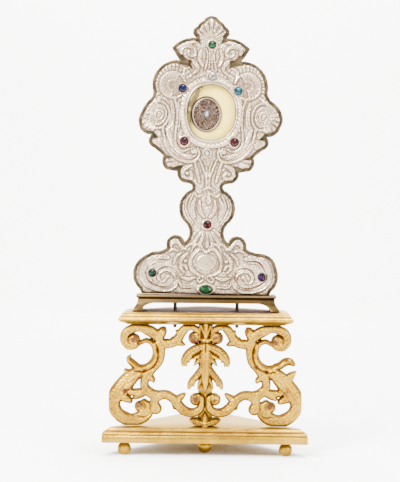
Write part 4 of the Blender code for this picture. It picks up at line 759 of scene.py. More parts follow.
def carve_panel(name, side):
    ground = CarvingGround((-1, -1), (113, 118), 0.5)
    for points, form, rise, base in PANEL_CARVING + (RIGHT_CARVING if side > 0 else LEFT_CARVING):
        line = smooth_line(points)
        room = np.minimum(line[:, :2] - DRAWING_LOW, DRAWING_HIGH - line[:, :2]).min(axis=1)
        line[:, 2] = np.maximum(line[:, 2], np.minimum(FULLNESS * line[:, 2], 2 * room))
        ground.raise_line(line, rise, form, base)
    for points, depth in PANEL_GROOVES:
        ground.sink_line(smooth_line(points), depth)
    ground.height *= 0.58 + 0.42 * rolled(ground.inside, 2.6)
    ground.soften(0.45)
    for x, z, reach in WORN_EYES:
        away = np.hypot(ground.x - x, ground.z - z) / reach
        ground.worn = np.maximum(ground.worn, 0.23 * np.clip(1.2 - away, 0, 1))
    gouge = 0.22 * np.sin(ground.x * 1.15 + 1.3 * np.sin(ground.z * 0.21)) * np.sin(ground.z * 0.83)
    ground.height = np.clip(ground.height + gouge, 0.5, PANEL_CREST - 0.1)
    # Painted shade under the carving's overhangs and along its edge
    paint_shade_under_and_at_edge(ground, 0.9, 0.5)
    return solid_from_ground(name, ground, across_the_stand(panel_high[1], side))


carved_gold = gold_leaf("gilded_carving", (0.34, 0.198, 0.011), (0.215, 0.108, 0.005), (0.095, 0.026, 0.002),
                        0.05, 0.19, 0.25)
for side, side_name in ((-1, "left"), (1, "right")):
    panel = carve_panel("gilded_scroll_panel_" + side_name, side)
    dress(panel, "carved_scroll_panel_" + side_name, carved_gold, 55)

# Leaf pillar: a plain gilt post behind the panels that carries a collar, a long hanging leaf with
# drooping side leaves, and a three-lobed leaf at its foot, each carved apart and glued on.
def mirrored(strokes):
    return [([(-x, z, width) for x, z, width in points], *form) for points, *form in strokes]


HANGING_CARVING = [
    ([(0, 98, 12), (0, 92.5, 14), (0, 84, 16), (0, 70, 16.5), (0, 58, 13.5), (0, 48, 9), (0, 39.5, 2)],
     leaf_blade, 9.0, 6.2),
    ([(0, 84, 2.5), (0, 71, 7), (0, 60, 8.5), (0, 50, 6), (0, 41, 1.5)], keeled, 2.2, 13.4),
    ([(0, 116, 8), (0, 110, 7.2), (0, 103, 6.4)], rounded, 7.0, 6.0),
    ([(0, 116.5, 15), (0, 108, 14.5), (0, 100, 14)], flat_scroll, 2.4, 5.0),
]
HANGING_SIDE_CARVING = [
    ([(1, 103, 2.6), (3.2, 109, 2.6), (5.6, 115.5, 2.8)], rounded, 5.2, 8.8),
    ([(6.6, 115.5, 3), (6.8, 108, 3), (7.2, 101, 3)], rounded, 3.6, 7.2),
    ([(0, 99.4, 3.2), (5, 99.6, 3.2), (8.6, 101.2, 2.4)], rounded, 4.6, 9.6),
    ([(4.6, 91, 9), (13, 87.2, 11), (20, 81.8, 10.6), (24, 75.4, 8.6), (25.4, 70.4, 4.4)],
     leaf_blade, 7.5, 7.4),
    ([(5.6, 82, 6), (11, 79.4, 5.4), (15.4, 77.4, 2.2)], leaf_blade, 6.4, 7.0),
    ([(15.6, 83, 5), (18.4, 77.6, 4.8), (18.6, 73.2, 1.6)], leaf_blade, 6.8, 7.2),
    ([(20.6, 79, 5), (22.4, 72.6, 4.4), (21.6, 68.6, 1.4)], leaf_blade, 6.8, 7.2),
    ([(5, 77.6, 7), (10, 73.6, 5), (12.8, 69.6, 1.8)], leaf_blade, 6.4, 7.0),
    ([(5, 65, 8), (10.6, 57, 8.4), (16, 50.4, 7.8), (18.6, 44.4, 4.4)], leaf_blade, 7.0, 7.2),
    ([(4, 57, 4), (6.8, 49, 4), (8.6, 43, 1.8)], leaf_blade, 5.0, 7.0),
    ([(10.6, 57, 4), (13, 50.6, 4), (13.2, 45.8, 1.4)], leaf_blade, 6.6, 7.0),
]
HANGING_SIDE_GROOVES = [([(7, 94, 1.0), (6.2, 84, 2.0), (7.0, 68, 1.2)], 1.2)]
HANGING_COLLAR_GROOVES = [([(-9, 96.4, 1.2), (0, 95.8, 2.0), (9, 96.4, 1.2)], 3.2)]
FOOT_CARVING = [([(0, 0.8, 9), (0, 8, 9.5), (0, 15.4, 2)], leaf_blade, 11.0, 9.4),
                ([(0, 1, 3.2), (0, 8, 3.8), (0, 14, 1.5)], keeled, 3.0, 17.4)]
FOOT_SIDE_CARVING = [([(2, 2.5, 5), (8, 5, 8.4), (14, 6.4, 6.5), (16.8, 7, 2.6)], leaf_blade, 10.0, 8.6),
                     ([(3, 1.6, 3), (8.4, 2.0, 3.6), (12.6, 2.4, 2)], rounded, 9.0, 7.6)]


def carve_leaves(name, middle, sides, grooves, depth, back):
    ground = CarvingGround((-31, -1), (31, 118), 0.42)
    for points, form, rise, base in middle + sides + mirrored(sides):
        ground.raise_line(smooth_line(points), rise, form, base)
    for points, groove in grooves:
        ground.sink_line(smooth_line(points), groove)
    ground.soften(0.32)
    ground.height = np.clip(ground.height, 0.8, depth - 0.15)
    # Painted shade under the carving's overhangs and along its edge
    paint_shade_under_and_at_edge(ground, 0.45, 0.3)
    return solid_from_ground(name, ground, across_the_stand(back))


def upright_block(name, half_width, front, back, heights):
    """A plain block on the middle line, from its front to its back and between two heights."""
    plan = ((-half_width, front), (half_width, front), (half_width, back), (-half_width, back))
    return lofted(name, [[(x, y, z) for x, y in plan] for z in heights])


def joined(name, *pieces):
    """Several pieces made one, under a new name, with the last piece's settings."""
    pick(*pieces)
    bpy.ops.object.join()
    pieces[-1].name = name
    return pieces[-1]


pillar_low, pillar_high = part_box("carved_leaf_pillar")
POST_HALF_WIDTH, POST_EASE = 0.00825, 0.0006
POST_FRONT = pillar_high[1] - 0.0125
HANGING_BACK = POST_FRONT - 0.003
FOOT_BACK = POST_FRONT + 0.003
CORE_HALF_WIDTH, CORE_FRONT, CORE_BACK = 0.005, HANGING_BACK - 0.004, POST_FRONT + 0.001
post = upright_block("gilded_post", POST_HALF_WIDTH, POST_FRONT, pillar_high[1],
                     (pillar_low[2], pillar_high[2]))
ease_edges(post, POST_EASE)
hanging = carve_leaves("hanging_leaf", HANGING_CARVING, HANGING_SIDE_CARVING,
                       HANGING_SIDE_GROOVES + mirrored(HANGING_SIDE_GROOVES) + HANGING_COLLAR_GROOVES,
                       (HANGING_BACK - pillar_low[1]) * 1000, HANGING_BACK)
leaf_core = upright_block("leaf_core", CORE_HALF_WIDTH, CORE_FRONT, CORE_BACK,
                          (panel_low[2] + 0.040, panel_low[2] + 0.0955))
foot_leaf = carve_leaves("foot_leaf", FOOT_CARVING, FOOT_SIDE_CARVING, [], (FOOT_BACK - pillar_low[1]) * 1000,
                         FOOT_BACK)
pillar = joined("gilded_leaf_pillar", hanging, leaf_core, foot_leaf, post)
dress(pillar, "carved_leaf_pillar", carved_gold, 55)

# Rear bracket: a plainer scroll of the same wood and gilding, carved alike on both sides.
# It runs straight back from the post and carries the top board's tail.
BRACKET_CARVING = [
    ([(1, 96, 11), (6, 96.5, 11), (15, 102.5, 11), (30, 106, 11), (48, 101, 12), (62, 90, 12), (72, 74, 11),
      (80, 58, 11), (92, 44, 12), (104, 31, 13), (108, 19, 12), (101, 9, 12), (90, 6.6, 12.4),
      (79, 11, 10), (76, 20, 8), (81, 27, 7)], flat_scroll),
    ([(50, 102, 10), (62, 108, 9), (76, 111.6, 9), (88, 109, 9), (94, 101, 9), (90, 93, 7.5), (82, 92, 6)],
     flat_scroll),
    ([(1, 20, 12), (6, 20.5, 12), (13, 33, 9.5), (24, 34.5, 9), (34, 26, 8.5), (44, 19.5, 8.5), (56, 22, 9),
      (66, 32, 9), (74, 44, 9), (80, 54, 8)], leaf_blade),
    ([(1, 8, 12), (12, 7, 11), (24, 12, 9), (34, 26, 8)], flat_scroll),
    ([(85.9, 20, 11), (86.1, 20, 11)], rounded), ([(82.9, 99, 11), (83.1, 99, 11)], rounded),
]
BRACKET_RISE, BRACKET_BASE = 2.4, 3.5
bracket_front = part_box("rear_scroll_bracket")[0][1]
bracket_ground = CarvingGround((-1, -1), (116, 118), 0.6)
for points, form in BRACKET_CARVING:
    bracket_ground.raise_line(smooth_line(points), BRACKET_RISE, form, BRACKET_BASE)
bracket_ground.inside = np.minimum(bracket_ground.inside, bracket_ground.x - 0.1)
bracket_ground.soften(0.45)
bracket_ground.height = np.clip(bracket_ground.height, 0.6, BRACKET_RISE + BRACKET_BASE)


def along_the_middle(y, z, height):
    return np.stack([height / 1000, bracket_front + y / 1000, up_the_stand(z)], axis=1)


bracket = solid_from_ground("gilded_rear_bracket", bracket_ground, along_the_middle, back_closed=False)
apply_change(bracket, "MIRROR", use_axis=(True, False, False), merge_threshold=0.00002)
dress(bracket, "rear_scroll_bracket", carved_gold, 55)

# Brass foot: sheet brass bent to an ogee moulding, mitred at its corners and open below, with
# apron arches between bracket feet. Two dark iron pins hold it through the top board.
FOOT_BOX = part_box("brass_foot")
foot_middle = middle_of(FOOT_BOX)
foot_half = ((FOOT_BOX[1][0] - FOOT_BOX[0][0]) / 2, (FOOT_BOX[1][1] - FOOT_BOX[0][1]) / 2)
# Rise and inset of the moulding from the table up, in millimetres, and how deep it lies. These marks also
# paint shade under the lip and a highlight along the top.
OGEE = [(0.0, 0.15, 0.4), (0.2, 0.0, -0.2), (1.3, 0.0, 0.0), (2.2, 0.35, 0.0), (3.2, 0.85, 0.1),
        (4.2, 1.45, 0.3), (5.2, 2.2, 0.5), (6.2, 3.0, 0.6), (7.4, 3.85, 0.6), (8.6, 4.5, 0.5),
        (9.8, 5.0, 0.3), (11.2, 5.35, 0.2), (12.6, 5.55, 0.3), (14.0, 5.7, 0.7), (14.4, 6.1, 1.4),
        (14.9, 6.1, 1.5), (15.1, 5.5, 0.9), (15.6, 5.0, 0.1), (16.2, 4.5, -0.2), (16.7, 3.85, -0.4),
        (17.0, 3.7, -0.5), (18.4, 3.7, -0.6), (18.7, 3.85, -0.6), (18.8, 4.1, -0.2)]


def foot_ring(inset, z):
    w, d = foot_half[0] - inset, foot_half[1] - inset
    return [(foot_middle[0] + x, foot_middle[1] + y, z) for x, y in ((-w, -d), (w, -d), (w, d), (-w, d))]


FOOT_WALL, FOOT_ROOF = 0.0086, 0.0036
foot_rings = [foot_ring(inset / 1000, FOOT_BOX[0][2] + rise / 1000) for rise, inset, _ in OGEE]
brass_foot = lofted("brass_bracket_foot", foot_rings, [hollow for _, _, hollow in OGEE])
cut_away(brass_foot, lofted("hollow_below", [foot_ring(FOOT_WALL, FOOT_BOX[0][2] - 0.01),
                                             foot_ring(FOOT_WALL, FOOT_BOX[1][2] - FOOT_ROOF)]))

# The aprons' arches: their height, half widths in front and at the side, and their shoulders as
# steps in from the end and shares of the height
APRON_HEIGHT, APRON_FRONT, APRON_SIDE = 0.0098, 0.0742, 0.0168
APRON_SHOULDER = [(0.0, 0.0), (0.0003, 0.20), (0.0013, 0.42), (0.0033, 0.62), (0.0062, 0.80), (0.0096, 0.93),
                  (0.0136, 1.0)]


def apron(half, push, along_x):
    """A cutter for two apron arches: level tops and hollow shoulders down to the bracket feet."""
    edge = [(half, -0.01)] + [(half - step, share * APRON_HEIGHT) for step, share in APRON_SHOULDER]
    outline = edge + [(-x, z) for x, z in reversed(edge)]
    rings = []
    for reach in (-push, push):
        rings.append([(foot_middle[0] + (x if along_x else reach), foot_middle[1] + (reach if along_x else x),
                       FOOT_BOX[0][2] + z) for x, z in outline])
    return lofted("apron_cutter", rings)


cut_away(brass_foot, apron(APRON_FRONT, 0.1, True))
cut_away(brass_foot, apron(APRON_SIDE, 0.2, False))
ease_edges(brass_foot, 0.00022, 45)


BRASS_GRIME_AND_SHADE, BRASS_SPECKS = (0.30, 0.23, 0.16), (0.45, 0.36, 0.26)


def old_brass(name, light, middle, dark, roughness, metallic, cloud_scale):
    """Unpolished metal: clouded, darker in its hollows from grime and painted shade, lighter on its crests
    from rubbing and a painted highlight.
    """
    finish, tree, shader = principled(name, Metallic=metallic, Specular_Tint=(0.50, 0.37, 0.19, 1.0))
    age = aged(tree, Hollow_Depth=1.4, Cloud_Scale=cloud_scale, Speck_Scale=800.0, Speck_Amount=0.14)
    metal = toned(tree, age["Cloud"], [(0.34, dark), (0.50, middle), (0.66, light)])
    # Grime and painted shade darken the hollows; the crests are lighter from rubbing and as a painted
    # highlight
    metal = overlaid(tree, age["Hollow"], metal, BRASS_GRIME_AND_SHADE, "MULTIPLY")
    metal = overlaid(tree, age["Crest"], metal, [min(1.0, 1.8 * part + 0.02) for part in light])
    metal = overlaid(tree, age["Specks"], metal, BRASS_SPECKS, "MULTIPLY")
    feed(tree, shader, Base_Color=metal,
         Roughness=stretched(tree, age["Hollow"], 0.0, 1.0, roughness, roughness + 0.25))
    beaten = textured(tree, "Noise", Scale=190.0, Detail=5.0, Roughness=0.6)
    roughened(tree, shader, beaten.outputs["Fac"], 0.35, 0.0008)
    return finish


foot_brass = old_brass("brass_moulding", (0.070, 0.043, 0.015), (0.056, 0.034, 0.011), (0.034, 0.022, 0.008),
                       0.38, 0.95, 22.0)
dress(brass_foot, "brass_foot", foot_brass, 40)

# The pins' blunt points end below the board
PIN_BELOW = 0.0036
pin_iron, _, _ = principled("pin_iron", Base_Color=(0.030, 0.018, 0.010, 1.0), Metallic=0.2, Roughness=0.75)
for pin_name in PIN_NAMES:
    pin_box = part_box(pin_name)
    pin_radius = (pin_box[1][0] - pin_box[0][0]) / 2
    tip, top = pin_box[0][2] - PIN_BELOW, pin_box[1][2]
    pin = turned("iron_" + pin_name, middle_of(pin_box),
                 [(pin_radius * 0.45, tip), (pin_radius * 0.85, tip + 0.0004), (pin_radius, tip + 0.0012),
                  (pin_radius, top - 0.0005), (pin_radius * 0.8, top)], 20)
    dress(pin, pin_name, pin_iron, 40)

# Backing board: a thin board cut to the plaque's outline and sheathed in brass, whose beaten edge
# shows all round the silver. A pocket is sunk into it behind the window.
LEAN = math.radians(0.8)
PLAQUE_FOOT = (-0.0014, 0.0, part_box("brass_foot")[1][2] + 0.0003)
(_, BOARD_FRONT, _), (_, BOARD_BACK, _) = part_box("backing_board")
BOARD_DEPTH, BOARD_ROUND = 10.0, 1.5
POCKET_LEDGE, POCKET_FLOOR = 1.8, 1.8


def on_plaque(x, z, y):
    """Drawing millimetres on the plaque to the frame's metres, leaning a little to the right."""
    across, up = np.asarray(x) / 1000, np.asarray(z) / 1000
    return np.stack([PLAQUE_FOOT[0] + across * math.cos(LEAN) + up * math.sin(LEAN),
                     np.broadcast_to(y, np.shape(across)),
                     PLAQUE_FOOT[2] - across * math.sin(LEAN) + up * math.cos(LEAN)], axis=-1)


# Half outline of the board from its tip down: a point on the way and the end of each arc
BOARD_ARCS = [
    ((6.0, 321.2), (9.6, 317.2)), ((14.4, 313.8), (16.6, 310.2)), ((20.8, 306.6), (21.4, 301.8)),
    (None, (18.0, 297.6)), ((34.0, 294.0), (45.4, 285.4)), ((41.5, 278.6), (36.0, 271.2)),
    ((58.5, 262.6), (66.5, 234.5)), ((67.5, 230.0), (71.0, 225.2)), ((80.2, 214.0), (83.8, 203.0)),
    ((82.6, 196.0), (80.0, 190.0)), ((76.5, 186.6), (66.5, 184.0)), ((69.9, 177.0), (65.6, 169.8)),
    ((60.0, 166.2), (52.6, 159.5)), ((53.2, 150.5), (48.6, 143.9)), (None, (36.0, 141.8)),
    ((34.4, 134.2), (28.5, 129.2)), (None, (21.0, 128.0)), ((18.2, 124.8), (21.5, 120.4)),
    ((32.9, 100.5), (25.5, 82.8)), ((20.2, 71.5), (25.0, 60.8)), ((36.0, 68.6), (46.8, 59.0)),
    (None, (46.6, 53.8)), ((53.0, 50.3), (60.0, 49.2)), ((77.7, 40.3), (84.3, 23.0)),
    ((82.9, 14.0), (77.2, 5.6)), (None, (73.7, 0.0)),
]


def arc_points(start, through, end, count=14):
    (ax, ay), (bx, by), (cx, cy) = start, through, end
    d = 2 * (ax * (by - cy) + bx * (cy - ay) + cx * (ay - by))
    a2, b2, c2 = ax ** 2 + ay ** 2, bx ** 2 + by ** 2, cx ** 2 + cy ** 2
    ux = (a2 * (by - cy) + b2 * (cy - ay) + c2 * (ay - by)) / d
    uy = (a2 * (cx - bx) + b2 * (ax - cx) + c2 * (bx - ax)) / d
    r = math.hypot(ax - ux, ay - uy)
    first = math.atan2(ay - uy, ax - ux)
    middle = (math.atan2(by - uy, bx - ux) - first) % (2 * math.pi)
    last = (math.atan2(cy - uy, cx - ux) - first) % (2 * math.pi)
    if middle > last:
        last -= 2 * math.pi
    return [(ux + r * math.cos(first + last * i / count), uy + r * math.sin(first + last * i / count))
            for i in range(1, count + 1)]


# The hand-cut shape isn't quite even: height, reach up and down, and shift to the right there
SWAYS = [(214.0, 16.0, 2.8), (46.0, 8.0, 3.0)]


def sway(x, z):
    share = np.clip((abs(x) - 36.0) / 20.0, 0, 1)
    return x + share * sum(shift * np.exp(-((z - middle) / reach) ** 2) for middle, reach, shift in SWAYS)


def board_edge():
    right = [(0.0, 323.0)]
    for through, end in BOARD_ARCS:
        right += [end] if through is None else arc_points(right[-1], through, end)
    edge = np.array(right + [(-x, z) for x, z in reversed(right[1:])])
    edge[:, 0] = sway(edge[:, 0], edge[:, 1])
    return edge


def depth_inside(polygon, x, z, reach=6.0):
    """Signed distance to a closed outline, positive inside, exact near it and cut off at the reach."""
    inside = np.zeros(x.shape, bool)
    near = np.full(x.shape, reach)
    following = np.roll(polygon, -1, axis=0)
    for (ax, az), (bx, bz) in zip(polygon, following):
        if az != bz:
            crosses = ((az > z) != (bz > z)) & (x < (bx - ax) * (z - az) / (bz - az) + ax)
            inside ^= crosses
        rows = slice(*np.searchsorted(z[:, 0], (min(az, bz) - reach, max(az, bz) + reach)))
        columns = slice(*np.searchsorted(x[0], (min(ax, bx) - reach, max(ax, bx) + reach)))
        ox, oz = x[rows, columns] - ax, z[rows, columns] - az
        length = max((bx - ax) ** 2 + (bz - az) ** 2, 1e-9)
        t = np.clip((ox * (bx - ax) + oz * (bz - az)) / length, 0, 1)
        away = np.hypot(ox - t * (bx - ax), oz - t * (bz - az))
        near[rows, columns] = np.minimum(near[rows, columns], away)
    return np.where(inside, near, -near)


WINDOW_MIDDLE = (2.0, 210.9)
WINDOW_HALF = (27.5, 31.75)
WINDOW_SQUARENESS = 2.25


def window_margin(x, z):
    """How far outside the window's opening a spot lies, in millimetres."""
    sx = abs(x - WINDOW_MIDDLE[0]) / WINDOW_HALF[0]
    sz = abs(z - WINDOW_MIDDLE[1]) / WINDOW_HALF[1]
    out = (sx ** WINDOW_SQUARENESS + sz ** WINDOW_SQUARENESS) ** (1 / WINDOW_SQUARENESS)
    return (out - 1) * WINDOW_HALF[0]


def board_ground():
    ground = CarvingGround((-88, -2.5), (88, 325), 0.75)
    x, z = ground.x, ground.z
    edge = depth_inside(board_edge(), x, z)
    beaten = 0.28 * np.sin(x * 1.35 + 1.7 * np.sin(z * 0.5)) * np.sin(z * 1.15 + 1.4 * np.sin(x * 0.6))
    above_foot = z > 1.5
    ground.inside = edge - np.where(above_foot, 0.10 + 1.2 * beaten.clip(0, 1), 0.0)
    ground.height = BOARD_DEPTH - BOARD_ROUND * (1 - rolled(ground.inside, BOARD_ROUND))
    dents = 0.16 * np.sin(x * 0.9 + 2.0 * np.sin(z * 0.33)) * np.sin(z * 0.8 + 1.6 * np.sin(x * 0.41))
    ground.height += np.minimum(dents - 0.16, 0)
    ground.height = np.where(window_margin(x, z) < POCKET_LEDGE, POCKET_FLOOR, ground.height)
    return ground


def laid_on(rear):
    """Places a drawing's relief in front of a depth on the plaque."""
    return lambda x, z, height: on_plaque(x, z, rear - height / 1000)


board = solid_from_ground("sheathed_board", board_ground(), laid_on(BOARD_BACK))
rim_brass = old_brass("rim_brass", (0.080, 0.053, 0.026), (0.030, 0.022, 0.012), (0.016, 0.012, 0.007), 0.45,
                      0.85, 95.0)
dress(board, "backing_board", rim_brass, 60)

# Silver front: one thin sheet raised from behind and chased in front, pinned to the board inside
# its brass rim. The window, the stones' seats and every scroll belong to the same sheet.

# Notches where the board shows between the silver's lobes
NOTCHES = [
    [(11.6, 290.6), (14.6, 296.2), (20, 301), (25, 297), (17.5, 292.8)],
    [(20.3, 260.8), (24.6, 263.8), (36.9, 266.9), (45, 273), (33, 277), (28.8, 271.6), (22.2, 270.4),
     (23, 266)],
    [(58.5, 180.5), (62, 184.6), (72, 187.5), (72, 181), (63, 180.2)],
    [(42.2, 157.4), (48.5, 160.6), (56, 164), (58, 158), (49, 157.4)],
    [(28.8, 149), (34, 148.6), (40, 146), (41, 140), (33, 138), (31.6, 144)],
    [(27.6, 57.6), (31, 62), (28, 68), (20, 66), (24.2, 60)],
]
# Stones' places and sizes on the drawing
STONE_SEATS = {
    "green_top": (1.5, 288.8, 8.6, 8.6), "clear_upper": (2.3, 253.2, 9.0, 9.0),
    "blue_left": (-31.5, 238.0, 9.4, 9.4), "turquoise_right": (32.8, 236.0, 9.0, 9.0),
    "dark_ruby_left": (-28.2, 177.0, 9.6, 9.6), "ruby_right": (29.8, 177.0, 9.6, 9.6),
    "clear_middle": (-1.6, 163.8, 6.6, 6.6), "ruby_low": (0.8, 81.3, 9.0, 9.0),
    "green_left": (-61.4, 24.0, 9.2, 9.2), "purple_right": (65.0, 22.0, 8.6, 9.8),
    "green_oval_bottom": (0.9, 6.1, 15.6, 10.2),
}


def beaded(ratio, along, width, total):
    """A row of round beads, one width apart."""
    turn = ((along / width) % 1.0) * 2 - 1
    return np.sqrt(np.clip(1 - ratio ** 2 - turn ** 2, 0, 1))


def gadrooned(ratio, along, width, total):
    """Short rounded flutes side by side across the stroke."""
    pitch = 2.7
    flutes = 0.35 + 0.65 * abs(np.sin(math.pi * along / pitch)) ** 0.8
    return flutes * rounded(ratio, along, width, total)


def hollow_scroll(ratio, along, width, total):
    """A scroll with two raised lips and a dished middle."""
    lips = np.exp(-((abs(ratio) - 0.72) / 0.17) ** 2)
    body = np.clip(1 - abs(ratio) ** 6, 0, 1) ** 0.5
    return np.clip(0.42 * body + 0.58 * lips, 0, 1) * np.clip((1 - abs(ratio)) / 0.12, 0, 1)


def fluted(ratio, along, width, total):
    """A petal that swells to its rounded tip, with a hollow down its middle."""
    swell = np.clip(along / max(total, 1e-6), 0, 1) ** 0.7
    return swell * (rounded(ratio, along, width, total) - 0.45 * np.exp(-(ratio / 0.34) ** 2))


# Half of the sheet's chasing, mirrored to the other side: stroke, form and rise
HALF_CHASING = [
    # Foot volute, from the shelf round into its eye
    ([(45, 42.5, 5), (56, 43, 7), (65, 39.5, 8), (71.8, 31, 8), (73, 20, 8), (66.5, 10, 7), (53, 5.2, 6),
      (40, 6, 6), (33.4, 13.5, 6), (35.8, 23.5, 5.5), (44, 28.6, 5), (52.3, 25.5, 4.6), (54.4, 18.5, 4),
      (49.5, 14.3, 3.4), (45.5, 18, 2.6)], hollow_scroll, 2.6),
    ([(48.5, 37.5, 2), (58, 37.5, 2.4), (65, 31.5, 2.4), (67, 22, 2.4), (62.5, 14.5, 2.2), (56, 11.5, 1.8)],
     rounded, 1.2),
    ([(43.6, 20.4, 5.4), (43.8, 20.4, 5.4)], rounded, 2.2),
    # Shoulder bud and foliage beside the cartouche
    ([(27, 53, 5), (32, 60.5, 7), (39, 61, 8), (42.5, 55, 6)], leaf_blade, 2.6),
    ([(33, 50, 3), (38, 52, 4.4), (43.6, 49.5, 3)], rounded, 1.8),
    ([(22, 47.5, 4), (28, 41, 5), (29.5, 32, 4.5), (25, 25, 3)], leaf_blade, 2.2),
    ([(24, 52, 3), (20.5, 57.5, 4), (15, 58, 3)], rounded, 1.8),
    ([(29, 47.5, 3), (35, 42.5, 4), (37, 35, 3)], leaf_blade, 1.9),
    ([(23.5, 38.5, 4.8), (23.7, 38.5, 4.8)], rounded, 2.0),
    ([(21.5, 29, 3.4), (24.5, 33.5, 3.4), (29, 33, 2.6)], rounded, 1.7),
    ([(15, 8.5, 2.4), (27, 8.5, 2.4), (30.6, 17, 2.4)], rounded, 1.4),
    ([(12.5, 19.5, 3.2), (20, 17.5, 5.5), (27.5, 19.5, 3.2)], leaf_blade, 2.2),
    # Cartouche frame and the curls under it
    ([(0, 49.5, 3.4), (7, 53, 4.5), (13.5, 48.5, 4.5), (17.6, 40, 4.5), (16.6, 30, 4.5), (10, 24, 4),
      (3, 21.5, 3)], hollow_scroll, 2.4),
    ([(2.6, 17.6, 2.4), (6.5, 14, 3), (9.5, 17.2, 2.8), (7.2, 19.8, 2.2)], rounded, 2.0),
    ([(4.5, 55.5, 2.4), (10, 58.5, 3.2), (15, 54.5, 2.6), (17.5, 48.8, 2)], rounded, 1.9),
    # Rays under the low stone
    ([(5.5, 73.5, 2.4), (15.5, 58.5, 4.6)], fluted, 2.6), ([(3, 72.5, 2.2), (7.5, 57, 4.2)], fluted, 2.6),
    ([(8, 76, 2.2), (18.8, 66, 4)], fluted, 2.2),
    # Baluster border with its beads, inner leaf and diagonal leaf
    ([(18.5, 120, 2.6), (26, 111.5, 2.8), (28.2, 100.5, 2.8), (24.5, 89.5, 2.8), (18.2, 80, 2.6),
      (16.2, 70, 2.2)], rounded, 1.5),
    ([(22.2, 113, 2.2), (25.0, 101, 2.2), (21.4, 90.5, 2.2), (15.4, 82, 2.2)], beaded, 1.2),
    ([(17.4, 114, 2.0), (21.4, 102, 2.4), (18, 91, 2.2), (13.6, 85, 1.8)], rounded, 1.3),
    ([(14.2, 111, 3.4), (17.4, 101, 6.2), (13.8, 89.5, 3.4)], leaf_blade, 2.5),
    ([(3, 89, 3), (8.5, 98, 6), (8.8, 109, 3.2)], leaf_blade, 2.6),
    ([(5, 116, 2.6), (11, 113.5, 3.4), (14, 117, 2.8)], rounded, 1.9),
    # Curls of the small lobe and the V under the middle stone
    ([(20, 149.5, 4), (28, 145, 6), (30, 138.5, 6), (24.5, 133.5, 5), (18.5, 136.5, 4.4), (20.5, 142, 3.5)],
     hollow_scroll, 2.5),
    ([(24.2, 140, 4.4), (24.4, 140, 4.4)], rounded, 1.8),
    ([(15.5, 152.5, 3), (12.5, 142, 4.6), (9.5, 130, 3)], leaf_blade, 2.2),
    ([(10, 156, 2.6), (5.8, 146, 2.8), (1.8, 134, 3), (1.8, 124, 3)], rounded, 2.1),
    ([(4.6, 155, 2), (2.2, 147, 2.2), (0.8, 137, 2)], rounded, 1.6),
    ([(36, 152.5, 3.4), (45, 149.5, 5.6)], fluted, 2.4), ([(35, 149, 3), (40.5, 146.5, 4)], fluted, 2.0),
    ([(38, 155.5, 3), (48, 155, 4.6)], fluted, 2.2),
    ([(50, 180, 3), (63, 177, 5.4)], fluted, 2.4), ([(49, 172, 3), (60.5, 170.8, 4.5)], fluted, 2.4),
    ([(48.5, 175.8, 3), (63, 173.4, 4.2)], fluted, 2.2),
    # Big C-scroll with its cross-cut lower band, and the inner ridges that run up beside the window
    ([(53.5, 192, 3), (51.8, 181, 4), (48.5, 170, 4), (41, 160.6, 4), (32, 155.4, 4), (22.5, 153.2, 4),
      (14.2, 156, 4), (10.8, 162.4, 3.6), (12.3, 169, 3)], rounded, 2.6),
    ([(47.6, 190, 4.6), (46, 180, 7.5), (42.4, 170.6, 8), (36, 163.6, 8), (28, 159.6, 7.5), (21, 158.6, 6)],
     gadrooned, 1.5),
    ([(41, 225, 3), (38, 214, 3), (37.4, 200, 3.2), (38.6, 188, 3.2), (39, 177, 3.6), (35.8, 169.5, 3.6),
      (29, 166, 3.2), (22.6, 168.2, 2.6)], rounded, 2.1),
    ([(36.6, 222, 2), (34.8, 212, 2.2), (34.4, 200, 2.2), (35.4, 189, 2)], rounded, 1.4),
    ([(45.5, 222, 3), (43.5, 210, 5.5), (44.5, 198, 6), (49, 191, 3.4)], hollow_scroll, 1.5),
    ([(17.6, 165.4, 6.4), (17.8, 165.4, 6.4)], rounded, 2.3),
    ([(21.4, 161.6, 2), (16.4, 159.6, 2.2), (13.8, 164.4, 2.2), (16.6, 169.6, 2.0), (21, 168.6, 1.8)],
     rounded, 2.0),
    # Wing: edge leaf, scroll and the leaves under it
    ([(13, 292.4, 3), (27, 290.6, 5.5), (38.5, 284.5, 3)], leaf_blade, 2.2),
    ([(33, 276, 3.4), (34.4, 283, 4.5), (27.5, 287.2, 4.5), (19.6, 284.5, 4.5), (18, 277.8, 4),
      (23.5, 275.6, 3.4), (26.6, 279.6, 2.8)], hollow_scroll, 2.4),
    ([(25.5, 281, 4.2), (25.7, 281, 4.2)], rounded, 1.6),
    ([(11, 283, 3.4), (13, 274, 5), (9.5, 265, 4)], hollow_scroll, 2.1),
    ([(27, 271, 3), (19, 268.6, 5.5), (14.6, 261, 5), (19.4, 255.2, 3.6)], leaf_blade, 2.4),
    ([(5, 284, 2.4), (3.6, 274, 2.6), (6.5, 260, 3)], rounded, 1.8),
    ([(1.6, 284, 1.8), (1.2, 272, 2), (1.8, 261, 1.8)], rounded, 1.3),
    ([(24, 262.5, 2.6), (31, 258.5, 4), (30, 251, 3)], rounded, 1.8),
    # Palmette ribs at the tip
    ([(4.5, 296.5, 2.0), (16, 301.8, 4.8)], fluted, 2.4), ([(3.5, 298, 2.0), (13, 308, 4.8)], fluted, 2.4),
    ([(2, 299.5, 2.0), (7, 313.8, 4.6)], fluted, 2.4), ([(5, 295, 1.8), (15, 297, 3.2)], fluted, 1.8),
]
WHOLE_CHASING = [
    ([(0, 299.5, 2.0), (0, 317, 5.2)], fluted, 2.6),
    ([(0.8, 72.5, 2.4), (0.8, 55.5, 4.5)], fluted, 2.6),
    ([(1.4, 117.5, 5), (1.6, 117.5, 5)], rounded, 2.6),
    ([(1.5, 114, 4), (1.5, 108.5, 6.6), (1.5, 106, 5)], rounded, 2.2),
    ([(-5, 121, 2.4), (1.5, 124, 3.4), (8, 121, 2.4)], rounded, 1.6),
]
